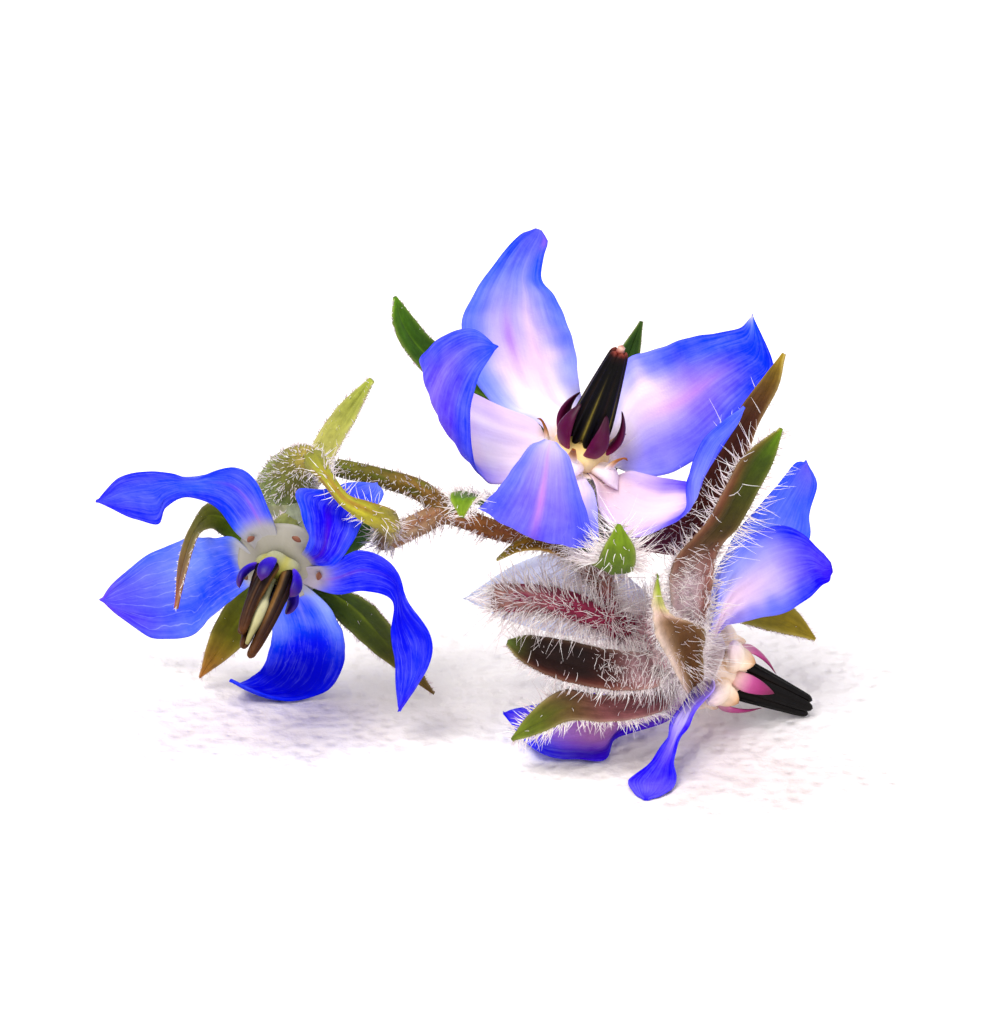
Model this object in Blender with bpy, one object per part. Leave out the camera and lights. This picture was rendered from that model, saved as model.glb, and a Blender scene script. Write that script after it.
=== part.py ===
"""Borage sprig: three open blooms on hairy stalks, picked and laid down on their own petals.

Frame: +X along the sprig from the left bloom to the right one, +Y to the back, +Z up.  The origin is
the middle of the sprig's foot, on the surface that it lies on.  All sizes below are in millimetres.

Petals and sepals are drawn by their two margins, from root to tip, on a front view that looks down by
VIEW_TILT.  A drawn point is (across, up, depth): across and up lie in the view, and depth is Y.
"""

import math

import bmesh
import bpy
import numpy as np

MM = 0.001
VIEW_TILT = math.radians(28.0)
FOOT = np.array((0.313, -0.362, 0.0))

BLADE_THICKNESS = 0.64
TIP_WIDTH = 0.4
PETAL_CUP = 0.14
SEPAL_CUP = 0.2
SEPAL_ROOT_SHARE = 0.6
PETAL_GRID = (11, 5)
SEPAL_GRID = (9, 4)
BRACT_GRID = (7, 3)
CURVE_STEPS = 24
ROUND_SIDES = 20
STALK_SIDES = 9
CUP_SIDES = 14

DISC_RADIUS = 3.2
DISC_HALF_THICKNESS = 0.35
DISC_DISH = 0.4
# Height along the bloom's axis, distance out from it, and radius there.
SCALE_STATIONS = ((0.0, 2.5, 0.42), (0.8, 2.4, 0.34), (1.35, 2.65, 0.2))
HORN_STATIONS = ((1.3, 1.15, 0.25), (1.5, 1.85, 0.42), (2.4, 2.18, 0.44), (3.2, 2.0, 0.3),
                 (3.9, 1.75, 0.12))

SEAT_GAP = 0.3
BORE_RADIUS = 0.42
STYLE_RADIUS = 0.17
STYLE_TIP_RADIUS = 0.24
FILAMENT_TOP = 1.5
CONE_BASE = FILAMENT_TOP + SEAT_GAP
STYLE_SHOWS = 0.5
# Share of the height from seat to top, and radius there.
FILAMENT_PROFILE = ((0.0, 1.25), (0.5, 1.5), (1.0, 1.3))
CONE_PROFILE = ((0.0, 1.15), (0.12, 1.4), (0.37, 1.26), (0.64, 1.0), (0.88, 0.76), (1.0, 0.62))
CONE_LOBE = 0.22
CALYX_RIM = 1.35
CALYX_RIM_RADIUS = 1.5

# Each bloom: the throat's centre as a drawn point, the ways that its face and its stamens point in world
# axes, the turn of its first throat scale in degrees, the heights of the stamens' seat and of the style's
# tip over the throat, and the calyx's cup as drawn points with radii.
BLOOMS = {
    "left": {"throat": (-11.1, 10.5, -0.5), "faces": (-0.23, -0.95, -0.15), "stamens": (-0.32, -0.84, -0.44),
             "turn": -8.0, "seat": 1.05, "reach": 7.6,
             "cup": ((-10.2, 12.6, 1.9, 1.9), (-10.8, 15.0, 2.9, 1.9), (-10.0, 16.6, 1.6, 1.2),
                     (-9.2, 16.9, 0.5, 0.75))},
    "centre": {"throat": (7.2, 16.75, 0.5), "faces": (0.34, 0.05, 0.94), "stamens": (0.34, 0.05, 0.94),
               "turn": 37.0, "seat": 0.65, "reach": 8.2,
               "cup": ((6.8, 14.6, 0.4, 1.9), (6.8, 13.5, 0.3, 1.7), (6.8, 12.6, 0.2, 0.85))},
    "right": {"throat": (15.3, 4.1, 0.6), "faces": (0.85, 0.18, -0.49), "stamens": (0.85, 0.18, -0.49),
              "turn": 12.0, "seat": 0.65, "reach": 8.0,
              "cup": ((13.1, 5.1, -0.4, 2.2), (11.8, 5.8, -0.6, 2.1), (10.6, 6.3, -0.9, 0.95))},
}

# Stalks: drawn points along the middle, each with its radius.
STALKS = {
    "stub": ((2.2, 8.3, -2.8, 0.85), (5.3, 8.2, -2.6, 0.85), (8.1, 7.4, -2.0, 0.85),
             (10.2, 6.5, -1.0, 0.95)),
    "riser": ((9.1, 7.0, -1.8, 0.75), (8.9, 8.9, -0.8, 0.75), (7.8, 10.6, 0.1, 0.75), (6.8, 12.0, 0.2, 0.8)),
    "runner": ((8.1, 10.9, 0.4, 0.65), (5.3, 11.8, 1.0, 0.6), (2.2, 12.5, 1.6, 0.6), (-0.8, 13.5, 2.0, 0.65),
               (-2.5, 12.9, 1.2, 0.7), (-4.6, 11.9, -0.6, 0.65), (-4.5, 13.0, -2.6, 0.8),
               (-5.8, 13.7, -3.9, 0.65), (-7.1, 14.4, -3.8, 0.42), (-8.2, 15.8, -2.6, 0.45),
               (-8.95, 16.8, 0.05, 0.7)),
    "side": ((-0.6, 13.6, 2.0, 0.65), (-2.5, 15.0, 2.8, 0.65), (-5.0, 15.8, 3.4, 0.6),
             (-7.6, 16.4, 3.6, 0.55)),
}
BRACTS = {
    "fork": (((8.0, 10.2, -0.3), (7.7, 11.0, 0.1)), ((5.4, 11.2, -2.8), (5.2, 12.1, -2.2)),
             ((3.8, 11.2, -3.4), (3.6, 11.9, -3.0)), ((2.3, 10.6, -3.6), (2.3, 10.8, -3.5))),
}

PETALS = {
    "left": {
        "upper_left": (
            ((-12.4, 11.1, -0.3), (-11.4, 12.6, -0.8)),
            ((-13.7, 12.3, -0.2), (-12.5, 15.2, -2.2)),
            ((-15.0, 13.7, 0.8), (-14.0, 16.3, -2.2)),
            ((-16.9, 14.5, 2.6), (-16.3, 15.8, -0.6)),
            ((-18.3, 14.0, 3.5), (-17.9, 15.9, 0.6)),
            ((-18.8, 12.8, 3.8), (-19.4, 16.1, 1.4)),
            ((-20.3, 13.2, 4.2), (-21.2, 15.7, 2.8)),
            ((-22.7, 14.3, 4.8), (-22.7, 14.3, 4.8)),
        ),
        "left": (
            ((-12.4, 9.5, 0.0), (-12.6, 10.8, -0.2)),
            ((-13.8, 8.5, 1.6), (-14.1, 12.0, 0.4)),
            ((-15.5, 7.1, 3.8), (-15.9, 12.0, 2.4)),
            ((-17.2, 5.7, 6.2), (-17.6, 11.8, 5.0)),
            ((-19.4, 5.8, 7.1), (-19.7, 10.8, 6.3)),
            ((-21.2, 6.9, 6.8), (-21.6, 9.3, 6.7)),
            ((-22.6, 8.1, 6.5), (-22.6, 8.1, 6.5)),
        ),
        "resting": (
            ((-10.0, 9.4, -0.6), (-11.6, 9.0, -0.1)),
            ((-8.5, 8.1, -0.5), (-11.9, 7.7, 1.4)),
            ((-7.4, 6.3, 0.8), (-11.8, 5.6, 3.4)),
            ((-7.3, 4.1, 3.5), (-12.4, 3.9, 5.1)),
            ((-8.5, 2.3, 3.9), (-13.1, 3.3, 5.4)),
            ((-11.2, 1.9, 3.3), (-13.8, 3.0, 4.6)),
            ((-14.4, 3.1, 3.0), (-14.4, 3.1, 3.0)),
        ),
        "hanging": (
            ((-9.9, 10.2, -0.8), (-9.9, 9.3, -0.6)),
            ((-8.1, 10.4, -1.9), (-8.0, 8.6, -1.0)),
            ((-6.1, 11.3, -4.2), (-5.9, 8.6, -2.1)),
            ((-4.3, 10.3, -4.9), (-4.2, 8.1, -1.7)),
            ((-3.2, 8.0, -3.6), (-4.2, 6.1, -1.6)),
            ((-1.8, 6.1, -3.8), (-4.1, 4.1, -1.0)),
            ((-2.1, 3.9, -3.2), (-4.0, 2.5, -1.2)),
            ((-3.8, 1.2, -1.6), (-3.8, 1.2, -1.6)),
        ),
        "upper_right": (
            ((-9.9, 11.0, -0.9), (-9.0, 10.3, -1.0)),
            ((-9.4, 11.9, -2.2), (-7.7, 10.4, -2.8)),
            ((-9.8, 13.6, -3.0), (-6.4, 12.1, -3.0)),
            ((-10.0, 15.0, -1.8), (-5.8, 13.4, -1.8)),
            ((-8.0, 15.1, -0.1), (-5.1, 14.1, -1.0)),
            ((-6.9, 15.5, 1.0), (-4.7, 14.8, -0.1)),
            ((-5.1, 15.4, 1.0), (-5.1, 15.4, 1.0)),
        ),
    },
    "centre": {
        "back": (
            ((5.9, 17.3, 0.8), (7.2, 17.8, 3.0)),
            ((5.0, 19.1, 3.0), (7.6, 20.1, 3.8)),
            ((2.5, 19.9, 4.6), (7.4, 21.6, 3.9)),
            ((0.6, 22.5, 5.8), (7.1, 23.8, 4.6)),
            ((0.1, 25.3, 6.2), (6.5, 25.7, 5.2)),
            ((0.9, 27.2, 6.4), (5.9, 27.0, 5.8)),
            ((2.0, 28.8, 6.8), (5.1, 28.0, 6.4)),
            ((3.1, 30.2, 7.1), (5.2, 29.4, 6.9)),
            ((4.0, 31.0, 7.4), (5.5, 30.5, 7.3)),
            ((4.6, 31.3, 7.6), (5.2, 31.0, 7.6)),
        ),
        "left": (
            ((6.0, 16.2, -1.7), (5.5, 17.3, 0.5)),
            ((4.5, 15.6, -1.7), (4.8, 19.2, 1.4)),
            ((2.6, 15.4, -1.8), (1.9, 20.5, 2.0)),
            ((1.6, 15.6, -2.2), (-1.2, 22.0, 2.2)),
            ((1.1, 16.4, -3.0), (-2.4, 22.8, 1.2)),
            ((0.7, 18.1, -3.6), (-2.0, 23.6, 0.0)),
            ((0.7, 20.1, -3.8), (-0.9, 24.5, -0.8)),
            ((1.3, 22.1, -3.8), (0.8, 24.9, -1.8)),
            ((2.4, 23.8, -3.2), (2.4, 23.8, -3.2)),
        ),
        "front": (
            ((7.9, 15.5, -1.9), (6.4, 15.7, -2.6)),
            ((8.4, 14.6, -3.3), (5.6, 15.2, -3.2)),
            ((8.6, 12.5, -4.9), (2.8, 14.1, -4.4)),
            ((8.5, 11.4, -6.0), (1.2, 13.9, -5.8)),
            ((8.0, 13.1, -7.0), (2.2, 14.9, -6.8)),
            ((7.3, 15.3, -7.4), (3.4, 16.5, -7.2)),
            ((6.8, 16.9, -7.3), (4.2, 17.6, -7.1)),
            ((6.3, 17.8, -7.0), (4.9, 18.2, -6.9)),
        ),
        "front_right": (
            ((9.3, 15.8, -0.2), (8.4, 15.4, -1.9)),
            ((10.7, 16.2, -0.4), (8.8, 13.4, -2.8)),
            ((12.2, 15.8, -0.6), (10.6, 12.1, -4.3)),
            ((13.8, 15.6, -1.4), (12.8, 12.8, -5.0)),
            ((14.6, 15.3, -3.0), (14.0, 13.8, -5.6)),
            ((15.2, 16.0, -3.6), (13.9, 15.6, -5.6)),
            ((16.2, 17.9, -3.6), (14.9, 17.9, -5.2)),
            ((17.1, 19.0, -3.4), (16.2, 19.2, -4.6)),
            ((17.5, 20.1, -4.0), (17.5, 20.1, -4.0)),
        ),
        "right": (
            ((8.1, 17.5, 2.9), (9.4, 16.5, 1.5)),
            ((9.3, 20.2, 4.0), (11.0, 15.9, 0.7)),
            ((10.2, 22.9, 5.0), (12.5, 15.9, 0.8)),
            ((12.0, 23.7, 5.4), (14.9, 17.1, 1.4)),
            ((14.1, 24.4, 5.2), (17.1, 19.5, 2.2)),
            ((15.9, 24.8, 6.0), (18.8, 21.3, 3.4)),
            ((17.4, 25.1, 7.0), (19.5, 22.6, 5.0)),
            ((18.2, 25.9, 8.2), (18.2, 25.9, 8.2)),
        ),
    },
    "right": {
        "near": (
            ((15.1, 4.7, 1.2), (16.0, 5.8, 1.0)),
            ((15.8, 7.4, -1.3), (16.5, 6.4, -0.4)),
            ((16.2, 9.9, -1.8), (17.8, 6.9, -1.0)),
            ((17.6, 11.9, -2.0), (19.9, 7.3, -1.6)),
            ((19.5, 12.8, -2.0), (21.3, 8.0, -2.0)),
            ((21.2, 12.3, -2.1), (22.4, 9.0, -2.6)),
            ((22.3, 11.3, -1.9), (22.9, 9.3, -2.5)),
            ((23.0, 10.8, -1.5), (23.1, 9.6, -2.2)),
        ),
        "far": (
            ((15.8, 5.0, 0.5), (16.1, 5.9, 1.0)),
            ((15.5, 8.1, 0.2), (16.9, 7.5, 1.6)),
            ((16.4, 10.9, 0.6), (19.5, 9.4, 2.2)),
            ((18.0, 13.3, 0.8), (21.6, 11.6, 2.4)),
            ((19.8, 15.4, 1.2), (21.8, 13.4, 2.4)),
            ((20.8, 16.6, 1.6), (22.2, 15.3, 2.2)),
            ((21.5, 16.8, 1.9), (21.5, 16.8, 1.9)),
        ),
        "twisted": (
            ((15.8, 2.6, -3.0), (15.0, 3.4, 0.4)),
            ((14.8, 1.6, -3.4), (14.0, 1.9, -1.8)),
            ((14.2, 0.4, -4.6), (13.1, 0.6, -3.4)),
            ((13.5, -0.7, -6.2), (12.8, -0.6, -4.6)),
            ((13.3, -1.8, -7.0), (11.9, -1.8, -5.4)),
            ((13.4, -3.0, -7.4), (10.5, -3.0, -6.6)),
            ((12.8, -3.7, -8.4), (10.7, -3.7, -8.0)),
            ((11.9, -4.2, -9.1), (11.2, -4.2, -9.1)),
        ),
        "under": (
            ((15.2, 2.3, -2.4), (14.5, 3.4, 0.6)),
            ((12.8, 0.5, -0.6), (13.0, 2.6, 0.8)),
            ((9.8, -0.4, -2.2), (11.2, 2.5, 1.4)),
            ((9.0, -1.7, -4.3), (8.8, 2.3, 1.2)),
            ((6.6, -1.7, -4.3), (6.2, 1.9, 0.6)),
            ((4.4, -0.9, -3.7), (4.0, 1.5, 0.2)),
            ((2.7, 1.1, 0.0), (2.7, 1.1, 0.0)),
        ),
        "reflexed": (
            ((14.6, 4.1, 1.4), (15.0, 5.4, 2.4)),
            ((11.9, 5.0, 3.0), (12.2, 8.1, 4.4)),
            ((8.8, 5.6, 3.6), (9.4, 10.3, 5.4)),
            ((5.6, 6.1, 4.0), (6.2, 11.1, 5.8)),
            ((3.1, 6.8, 4.6), (3.4, 10.3, 5.8)),
            ((0.2, 8.2, 5.4), (0.2, 8.2, 5.4)),
        ),
    },
}
SEPALS = {
    "left": {
        "s1": (
            ((-12.6, 11.1, 2.0), (-12.2, 12.7, 1.4)),
            ((-14.5, 12.0, 2.8), (-13.5, 13.7, 2.6)),
            ((-15.4, 12.6, 1.7), (-15.6, 14.2, 2.1)),
            ((-16.3, 12.1, 0.6), (-16.8, 12.6, 1.5)),
            ((-17.0, 10.0, 0.2), (-17.5, 10.5, 1.1)),
            ((-17.7, 7.6, 1.1), (-17.7, 7.7, 1.3)),
        ),
        "s2": (
            ((-10.9, 9.2, 2.7), (-12.8, 10.3, 3.0)),
            ((-12.4, 7.0, 5.3), (-14.4, 8.2, 5.8)),
            ((-13.9, 5.0, 4.6), (-15.6, 6.1, 5.0)),
            ((-16.3, 3.2, 5.2), (-16.4, 3.3, 5.2)),
        ),
        "s3": (
            ((-8.1, 9.5, 0.8), (-9.6, 9.0, 2.1)),
            ((-5.5, 7.9, 1.5), (-7.5, 6.8, 2.2)),
            ((-3.6, 5.5, 2.5), (-5.2, 4.7, 2.9)),
            ((-1.6, 2.3, 3.1), (-1.7, 2.2, 3.1)),
        ),
        "s4": (
            ((-9.5, 12.0, 0.0), (-8.3, 10.3, 0.4)),
            ((-7.8, 12.9, 0.3), (-7.0, 10.8, 0.1)),
            ((-6.0, 13.5, 1.6), (-5.8, 11.7, 1.2)),
            ((-4.2, 13.2, 3.3), (-4.3, 13.1, 3.3)),
        ),
        "s5": (
            ((-9.5, 11.9, -0.2), (-11.5, 13.1, 0.1)),
            ((-10.5, 14.9, 5.1), (-8.7, 15.4, 4.0)),
            ((-9.0, 18.2, 7.0), (-7.6, 17.5, 5.5)),
            ((-7.5, 20.3, 7.5), (-6.5, 19.4, 6.2)),
            ((-5.6, 22.0, 7.3), (-5.4, 21.7, 6.9)),
        ),
    },
    "centre": {
        "s1": (
            ((6.9, 14.7, 1.8), (9.1, 14.1, 1.4)),
            ((7.9, 18.4, 4.2), (10.1, 17.8, 3.8)),
            ((9.2, 22.4, 6.5), (11.0, 21.8, 6.3)),
            ((11.2, 25.5, 8.0), (11.4, 25.5, 8.0)),
        ),
        "s2": (
            ((5.8, 14.0, 0.6), (7.9, 14.7, 1.8)),
            ((4.3, 16.6, 3.0), (6.3, 17.4, 4.2)),
            ((2.2, 19.3, 5.9), (3.8, 20.7, 7.3)),
            ((-0.2, 20.7, 6.4), (0.9, 22.5, 8.0)),
            ((-2.8, 22.9, 6.7), (-1.7, 24.4, 8.1)),
            ((-4.1, 25.1, 6.9), (-3.0, 25.9, 7.9)),
            ((-4.1, 26.9, 7.4), (-3.9, 27.0, 7.4)),
        ),
        "s3": (
            ((6.9, 12.7, -1.3), (5.8, 14.0, 0.9)),
            ((4.9, 13.3, -2.7), (3.6, 14.4, -0.3)),
            ((3.1, 13.8, -3.5), (1.5, 14.6, -1.7)),
            ((1.7, 14.4, -5.0), (0.1, 14.9, -3.7)),
            ((1.0, 14.4, -6.8), (-0.6, 14.6, -6.2)),
            ((0.3, 13.3, -7.6), (0.0, 13.4, -7.5)),
        ),
        "s4": (
            ((9.1, 12.6, -1.0), (6.9, 12.2, -1.8)),
            ((9.9, 11.3, -3.4), (7.6, 10.9, -4.2)),
            ((10.6, 10.0, -6.3), (8.4, 10.5, -6.5)),
            ((10.8, 11.3, -7.8), (8.9, 11.5, -7.8)),
            ((9.9, 12.9, -7.6), (9.7, 12.9, -7.6)),
        ),
        "s5": (
            ((8.7, 13.6, 1.5), (8.2, 11.9, -0.7)),
            ((11.5, 13.7, 0.6), (11.6, 11.2, -1.4)),
            ((13.8, 14.6, 0.3), (14.9, 11.2, -1.3)),
            ((15.4, 17.0, 0.5), (17.0, 14.9, -0.8)),
            ((17.1, 19.7, 1.5), (18.4, 18.9, 0.3)),
            ((18.8, 22.0, 2.5), (19.7, 21.4, 1.7)),
            ((20.0, 23.5, 3.1), (20.1, 23.4, 2.9)),
        ),
    },
    "right": {
        "a": (
            ((13.5, 4.4, -2.9), (14.6, 5.3, -1.1)),
            ((13.1, 7.7, -3.6), (15.5, 7.9, -2.9)),
            ((13.2, 10.5, -4.1), (15.9, 11.0, -3.5)),
            ((15.2, 13.0, -4.3), (17.2, 12.7, -3.7)),
            ((16.2, 14.8, -4.2), (18.2, 14.5, -3.7)),
            ((17.4, 17.0, -3.9), (19.3, 16.6, -3.6)),
            ((19.7, 18.8, -3.4), (19.9, 18.7, -3.4)),
        ),
        "c": (
            ((12.3, 2.8, -3.8), (12.0, 5.0, -2.2)),
            ((9.4, 2.6, -5.1), (9.4, 5.1, -3.3)),
            ((6.0, 3.3, -5.4), (6.5, 5.7, -3.4)),
            ((3.8, 4.4, -5.0), (4.2, 6.0, -3.4)),
            ((2.9, 5.4, -4.2), (3.0, 5.7, -3.8)),
        ),
        "d": (
            ((13.2, 1.8, -1.9), (12.3, 3.1, -0.7)),
            ((11.5, 0.9, -4.6), (10.5, 2.3, -3.0)),
            ((9.0, 0.6, -6.0), (8.5, 2.3, -4.4)),
            ((6.9, 0.7, -6.7), (6.4, 2.6, -4.9)),
            ((5.0, -0.1, -6.5), (4.5, 1.3, -5.1)),
            ((3.3, -0.6, -5.7), (3.2, -0.4, -5.5)),
        ),
        "e": (
            ((13.9, 8.6, 3.5), (14.9, 7.0, 1.7)),
            ((16.0, 8.6, 5.3), (16.7, 6.9, 3.3)),
            ((18.6, 8.2, 6.0), (18.6, 6.4, 3.8)),
            ((20.9, 7.6, 5.6), (20.3, 6.0, 4.0)),
            ((22.3, 5.7, 4.5), (22.2, 5.6, 4.3)),
        ),
        "b": (
            ((14.1, 2.3, -2.4), (15.0, 3.1, -2.0)),
            ((13.0, 4.4, -4.4), (15.1, 4.9, -2.6)),
            ((12.1, 6.1, -5.8), (15.1, 6.4, -3.4)),
            ((11.9, 7.5, -6.4), (13.2, 7.3, -5.2)),
            ((11.9, 8.6, -6.6), (12.6, 8.1, -6.2)),
            ((12.2, 9.8, -6.6), (12.2, 9.8, -6.6)),
        ),
    },
}


def drawn(point):
    """World place of a drawn point (across, up, depth)."""
    across, up, depth = point[:3]
    height = (up - depth * math.sin(VIEW_TILT)) / math.cos(VIEW_TILT)
    return np.array((across, depth, height)) - FOOT


def unit(vectors):
    return vectors / np.maximum(np.linalg.norm(vectors, axis=-1, keepdims=True), 1e-9)


def smooth_path(stations, count):
    """Catmull-Rom curve through the stations, read at even steps along its first three columns."""
    points = np.asarray(stations, float)
    padded = np.vstack((2 * points[0] - points[1], points, 2 * points[-1] - points[-2]))
    steps = np.linspace(0.0, 1.0, CURVE_STEPS, endpoint=False)[:, None]
    spans = []
    for before, start, end, after in zip(padded, padded[1:], padded[2:], padded[3:]):
        spans.append(0.5 * (2 * start + (end - before) * steps
                            + (2 * before - 5 * start + 4 * end - after) * steps ** 2
                            + (3 * start - before - 3 * end + after) * steps ** 3))
    curve = np.vstack(spans + [points[-1:]])
    travelled = np.linalg.norm(np.diff(curve[:, :3], axis=0), axis=1).cumsum()
    travelled = np.concatenate(((0.0,), travelled))
    wanted = np.linspace(0.0, travelled[-1], count)
    return np.stack([np.interp(wanted, travelled, column) for column in curve.T], axis=1)


def blade(margins, cup, grid):
    """Closed thin solid between two margins, with its middle pushed to the outer side by the cup."""
    rows, columns = grid
    left, right = margins[:, 0], margins[:, 1]
    curve = smooth_path(np.hstack(((left + right) / 2, left, right)), rows)
    middle, left, right = curve[:, :3], curve[:, 3:6], curve[:, 6:]
    across = right - left
    width = np.linalg.norm(across, axis=1)
    facing = unit(np.cross(across, np.gradient(middle, axis=0)))
    facing[-1] = facing[-2]
    across = unit(across)
    across[-1] = across[-2]
    half = np.maximum(width, TIP_WIDTH)[:, None, None] / 2
    share = np.linspace(-1.0, 1.0, columns)[None, :, None]
    flat = middle[:, None] + across[:, None] * half * share
    sheet = flat - facing[:, None] * cup * half * (1 - share ** 2)
    along = np.gradient(sheet, axis=0)
    sideways = np.gradient(sheet, axis=1)
    normal = unit(np.cross(sideways, along))
    offset = normal * BLADE_THICKNESS / 2
    points = np.vstack(((sheet + offset).reshape(-1, 3), (sheet - offset).reshape(-1, 3)))
    under = rows * columns
    faces = []
    for row in range(rows - 1):
        for column in range(columns - 1):
            a = row * columns + column
            b, c, d = a + 1, a + columns + 1, a + columns
            faces += [(a, b, c), (a, c, d)]
            faces += [(under + a, under + c, under + b), (under + a, under + d, under + c)]
    rim = list(range(columns))
    rim += [row * columns + columns - 1 for row in range(1, rows)]
    rim += [(rows - 1) * columns + column for column in range(columns - 2, -1, -1)]
    rim += [row * columns for row in range(rows - 2, 0, -1)]
    for a, b in zip(rim, rim[1:] + rim[:1]):
        faces += [(a, under + a, under + b), (a, under + b, b)]
    return points, faces


def skin(rings, wrap=False):
    """Triangulated surface through equal rings of points, closed by caps or back onto its first ring."""
    sides = len(rings[0])
    points = np.vstack(rings)
    faces = []
    pairs = list(zip(range(len(rings)), range(1, len(rings))))
    if wrap:
        pairs.append((len(rings) - 1, 0))
    for low, high in pairs:
        for side in range(sides):
            a, b = low * sides + side, low * sides + (side + 1) % sides
            c, d = high * sides + (side + 1) % sides, high * sides + side
            faces += [(a, b, c), (a, c, d)]
    if not wrap:
        top = (len(rings) - 1) * sides
        faces += [(0, side + 1, side) for side in range(1, sides - 1)]
        faces += [(top, top + side, top + side + 1) for side in range(1, sides - 1)]
    return points, faces


def tube(stations, count, sides):
    """Round stalk through stations (x, y, z, radius), its rings turned as little as possible."""
    curve = smooth_path(stations, count)
    middle, radii = curve[:, :3], curve[:, 3]
    along = unit(np.gradient(middle, axis=0))
    side = unit(np.cross(along[0], (0.31, 0.52, 0.8)))
    angles = np.linspace(0.0, 2 * math.pi, sides, endpoint=False)[:, None]
    rings = []
    for centre, direction, radius in zip(middle, along, radii):
        side = unit(side - direction * side.dot(direction))
        up = np.cross(direction, side)
        rings.append(centre + radius * (side * np.cos(angles) + up * np.sin(angles)))
    return skin(rings)


class Bloom:
    """Throat centre of one bloom, with the axis of its face or of its stamens, and two cross axes."""

    def __init__(self, side, axis="faces"):
        plan = BLOOMS[side]
        self.throat = drawn(plan["throat"])
        self.axis = unit(np.array(plan[axis]))
        self.seat = plan["seat"]
        self.reach = plan["reach"]
        self.cup = [(*drawn(station), station[3]) for station in plan["cup"]]
        level = np.array((1.0, 0.0, 0.0))
        self.across = unit(level - self.axis * level.dot(self.axis))
        self.upward = np.cross(self.axis, self.across)
        self.turn = math.radians(plan["turn"])

    def place(self, height, radius, angle):
        """Point at a height along the axis from the throat, a radius and an angle round it."""
        outward = self.across * math.cos(angle) + self.upward * math.sin(angle)
        return self.throat + self.axis * height + outward * radius

    def ring(self, height, radius, sides, lobe=0.0):
        """Ring of points round the axis, scalloped in five lobes by the given share of the radius."""
        points = []
        for side in range(sides):
            angle = self.turn + 2 * math.pi * side / sides
            scallop = 1 - lobe * (1 - abs(math.cos(2.5 * (angle - self.turn))))
            points.append(self.place(height, radius * scallop, angle))
        return np.array(points)

    def fifths(self, offset=0.0):
        return [self.turn + 2 * math.pi * (index + offset) / 5 for index in range(5)]


def throat_disc(bloom):
    """Shallow dish that joins the five petals."""
    rings = []
    for face, radii in ((1, (0.05, 1.7, DISC_RADIUS)), (-1, (DISC_RADIUS, 1.7, 0.05))):
        for radius in radii:
            dish = DISC_DISH * (radius / DISC_RADIUS) ** 2
            half_thickness = DISC_HALF_THICKNESS * (1 if radius < DISC_RADIUS else 0.4)
            rings.append(bloom.ring(dish + face * half_thickness, radius, ROUND_SIDES))
    return skin(rings)


def throat_scale(bloom, angle):
    """Small hooked scale that stands up from the throat opposite a petal."""
    stations = [(*bloom.place(height, out, angle), radius) for height, out, radius in SCALE_STATIONS]
    return tube(stations, 4, 6)


def corolla(side):
    bloom = Bloom(side)
    pieces = [throat_disc(bloom)]
    for margins in PETALS[side].values():
        placed = np.array([[drawn(point) for point in station] for station in margins])
        pieces.append(blade(placed, PETAL_CUP, PETAL_GRID))
    pieces += [throat_scale(bloom, angle) for angle in bloom.fifths()]
    return pieces


def calyx(side):
    """Hairy cup behind the petals, with its five sepals rooted inside it."""
    bloom = Bloom(side)
    rim = (*bloom.place(-CALYX_RIM, 0.0, 0.0), CALYX_RIM_RADIUS)
    waist = np.array(bloom.cup[0][:3])
    pieces = [tube([rim] + bloom.cup, 7, CUP_SIDES)]
    for margins in SEPALS[side].values():
        placed = np.array([[drawn(point) for point in station] for station in margins])
        first = placed[0]
        root = waist + (first - first.mean(axis=0)) * SEPAL_ROOT_SHARE
        pieces.append(blade(np.vstack((root[None], placed)), SEPAL_CUP, SEPAL_GRID))
    return pieces


def stamen_horns(side):
    """Ring of filament bases round the style, with a horn beside each anther."""
    bloom = Bloom(side, "stamens")
    rise = FILAMENT_TOP - bloom.seat
    rings = []
    for share, radius in FILAMENT_PROFILE:
        rings.append(bloom.ring(bloom.seat + share * rise, radius, ROUND_SIDES))
    rings += [bloom.ring(height, BORE_RADIUS, ROUND_SIDES) for height in (FILAMENT_TOP, bloom.seat)]
    pieces = [skin(rings, wrap=True)]
    for angle in bloom.fifths(0.5):
        stations = [(*bloom.place(height, out, angle), radius) for height, out, radius in HORN_STATIONS]
        pieces.append(tube(stations, 6, 7))
    return pieces


def anther_cone(side):
    """Five anthers held together in a cone, with the style's bore down the middle."""
    bloom = Bloom(side, "stamens")
    top = bloom.reach - STYLE_SHOWS
    rings = []
    for share, radius in CONE_PROFILE:
        rings.append(bloom.ring(CONE_BASE + share * (top - CONE_BASE), radius, ROUND_SIDES, CONE_LOBE))
    rings += [bloom.ring(height, BORE_RADIUS, ROUND_SIDES) for height in (top, CONE_BASE)]
    return [skin(rings, wrap=True)]


def style(side):
    bloom = Bloom(side, "stamens")
    profile = ((bloom.seat, STYLE_RADIUS), (bloom.reach / 2, STYLE_RADIUS),
               (bloom.reach - STYLE_SHOWS, STYLE_RADIUS), (bloom.reach, STYLE_TIP_RADIUS))
    return [tube([(*bloom.place(height, 0.0, 0.0), radius) for height, radius in profile], 5, 8)]


def stem():
    """The cut stub, the riser, the runner and the side stalk, with the fork's bract."""
    pieces = []
    for stations in STALKS.values():
        placed = [(*drawn(station), station[3]) for station in stations]
        pieces.append(tube(placed, 2 * len(stations) + 1, STALK_SIDES))
    for margins in BRACTS.values():
        placed = np.array([[drawn(point) for point in station] for station in margins])
        pieces.append(blade(placed, SEPAL_CUP, BRACT_GRID))
    return pieces


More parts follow.
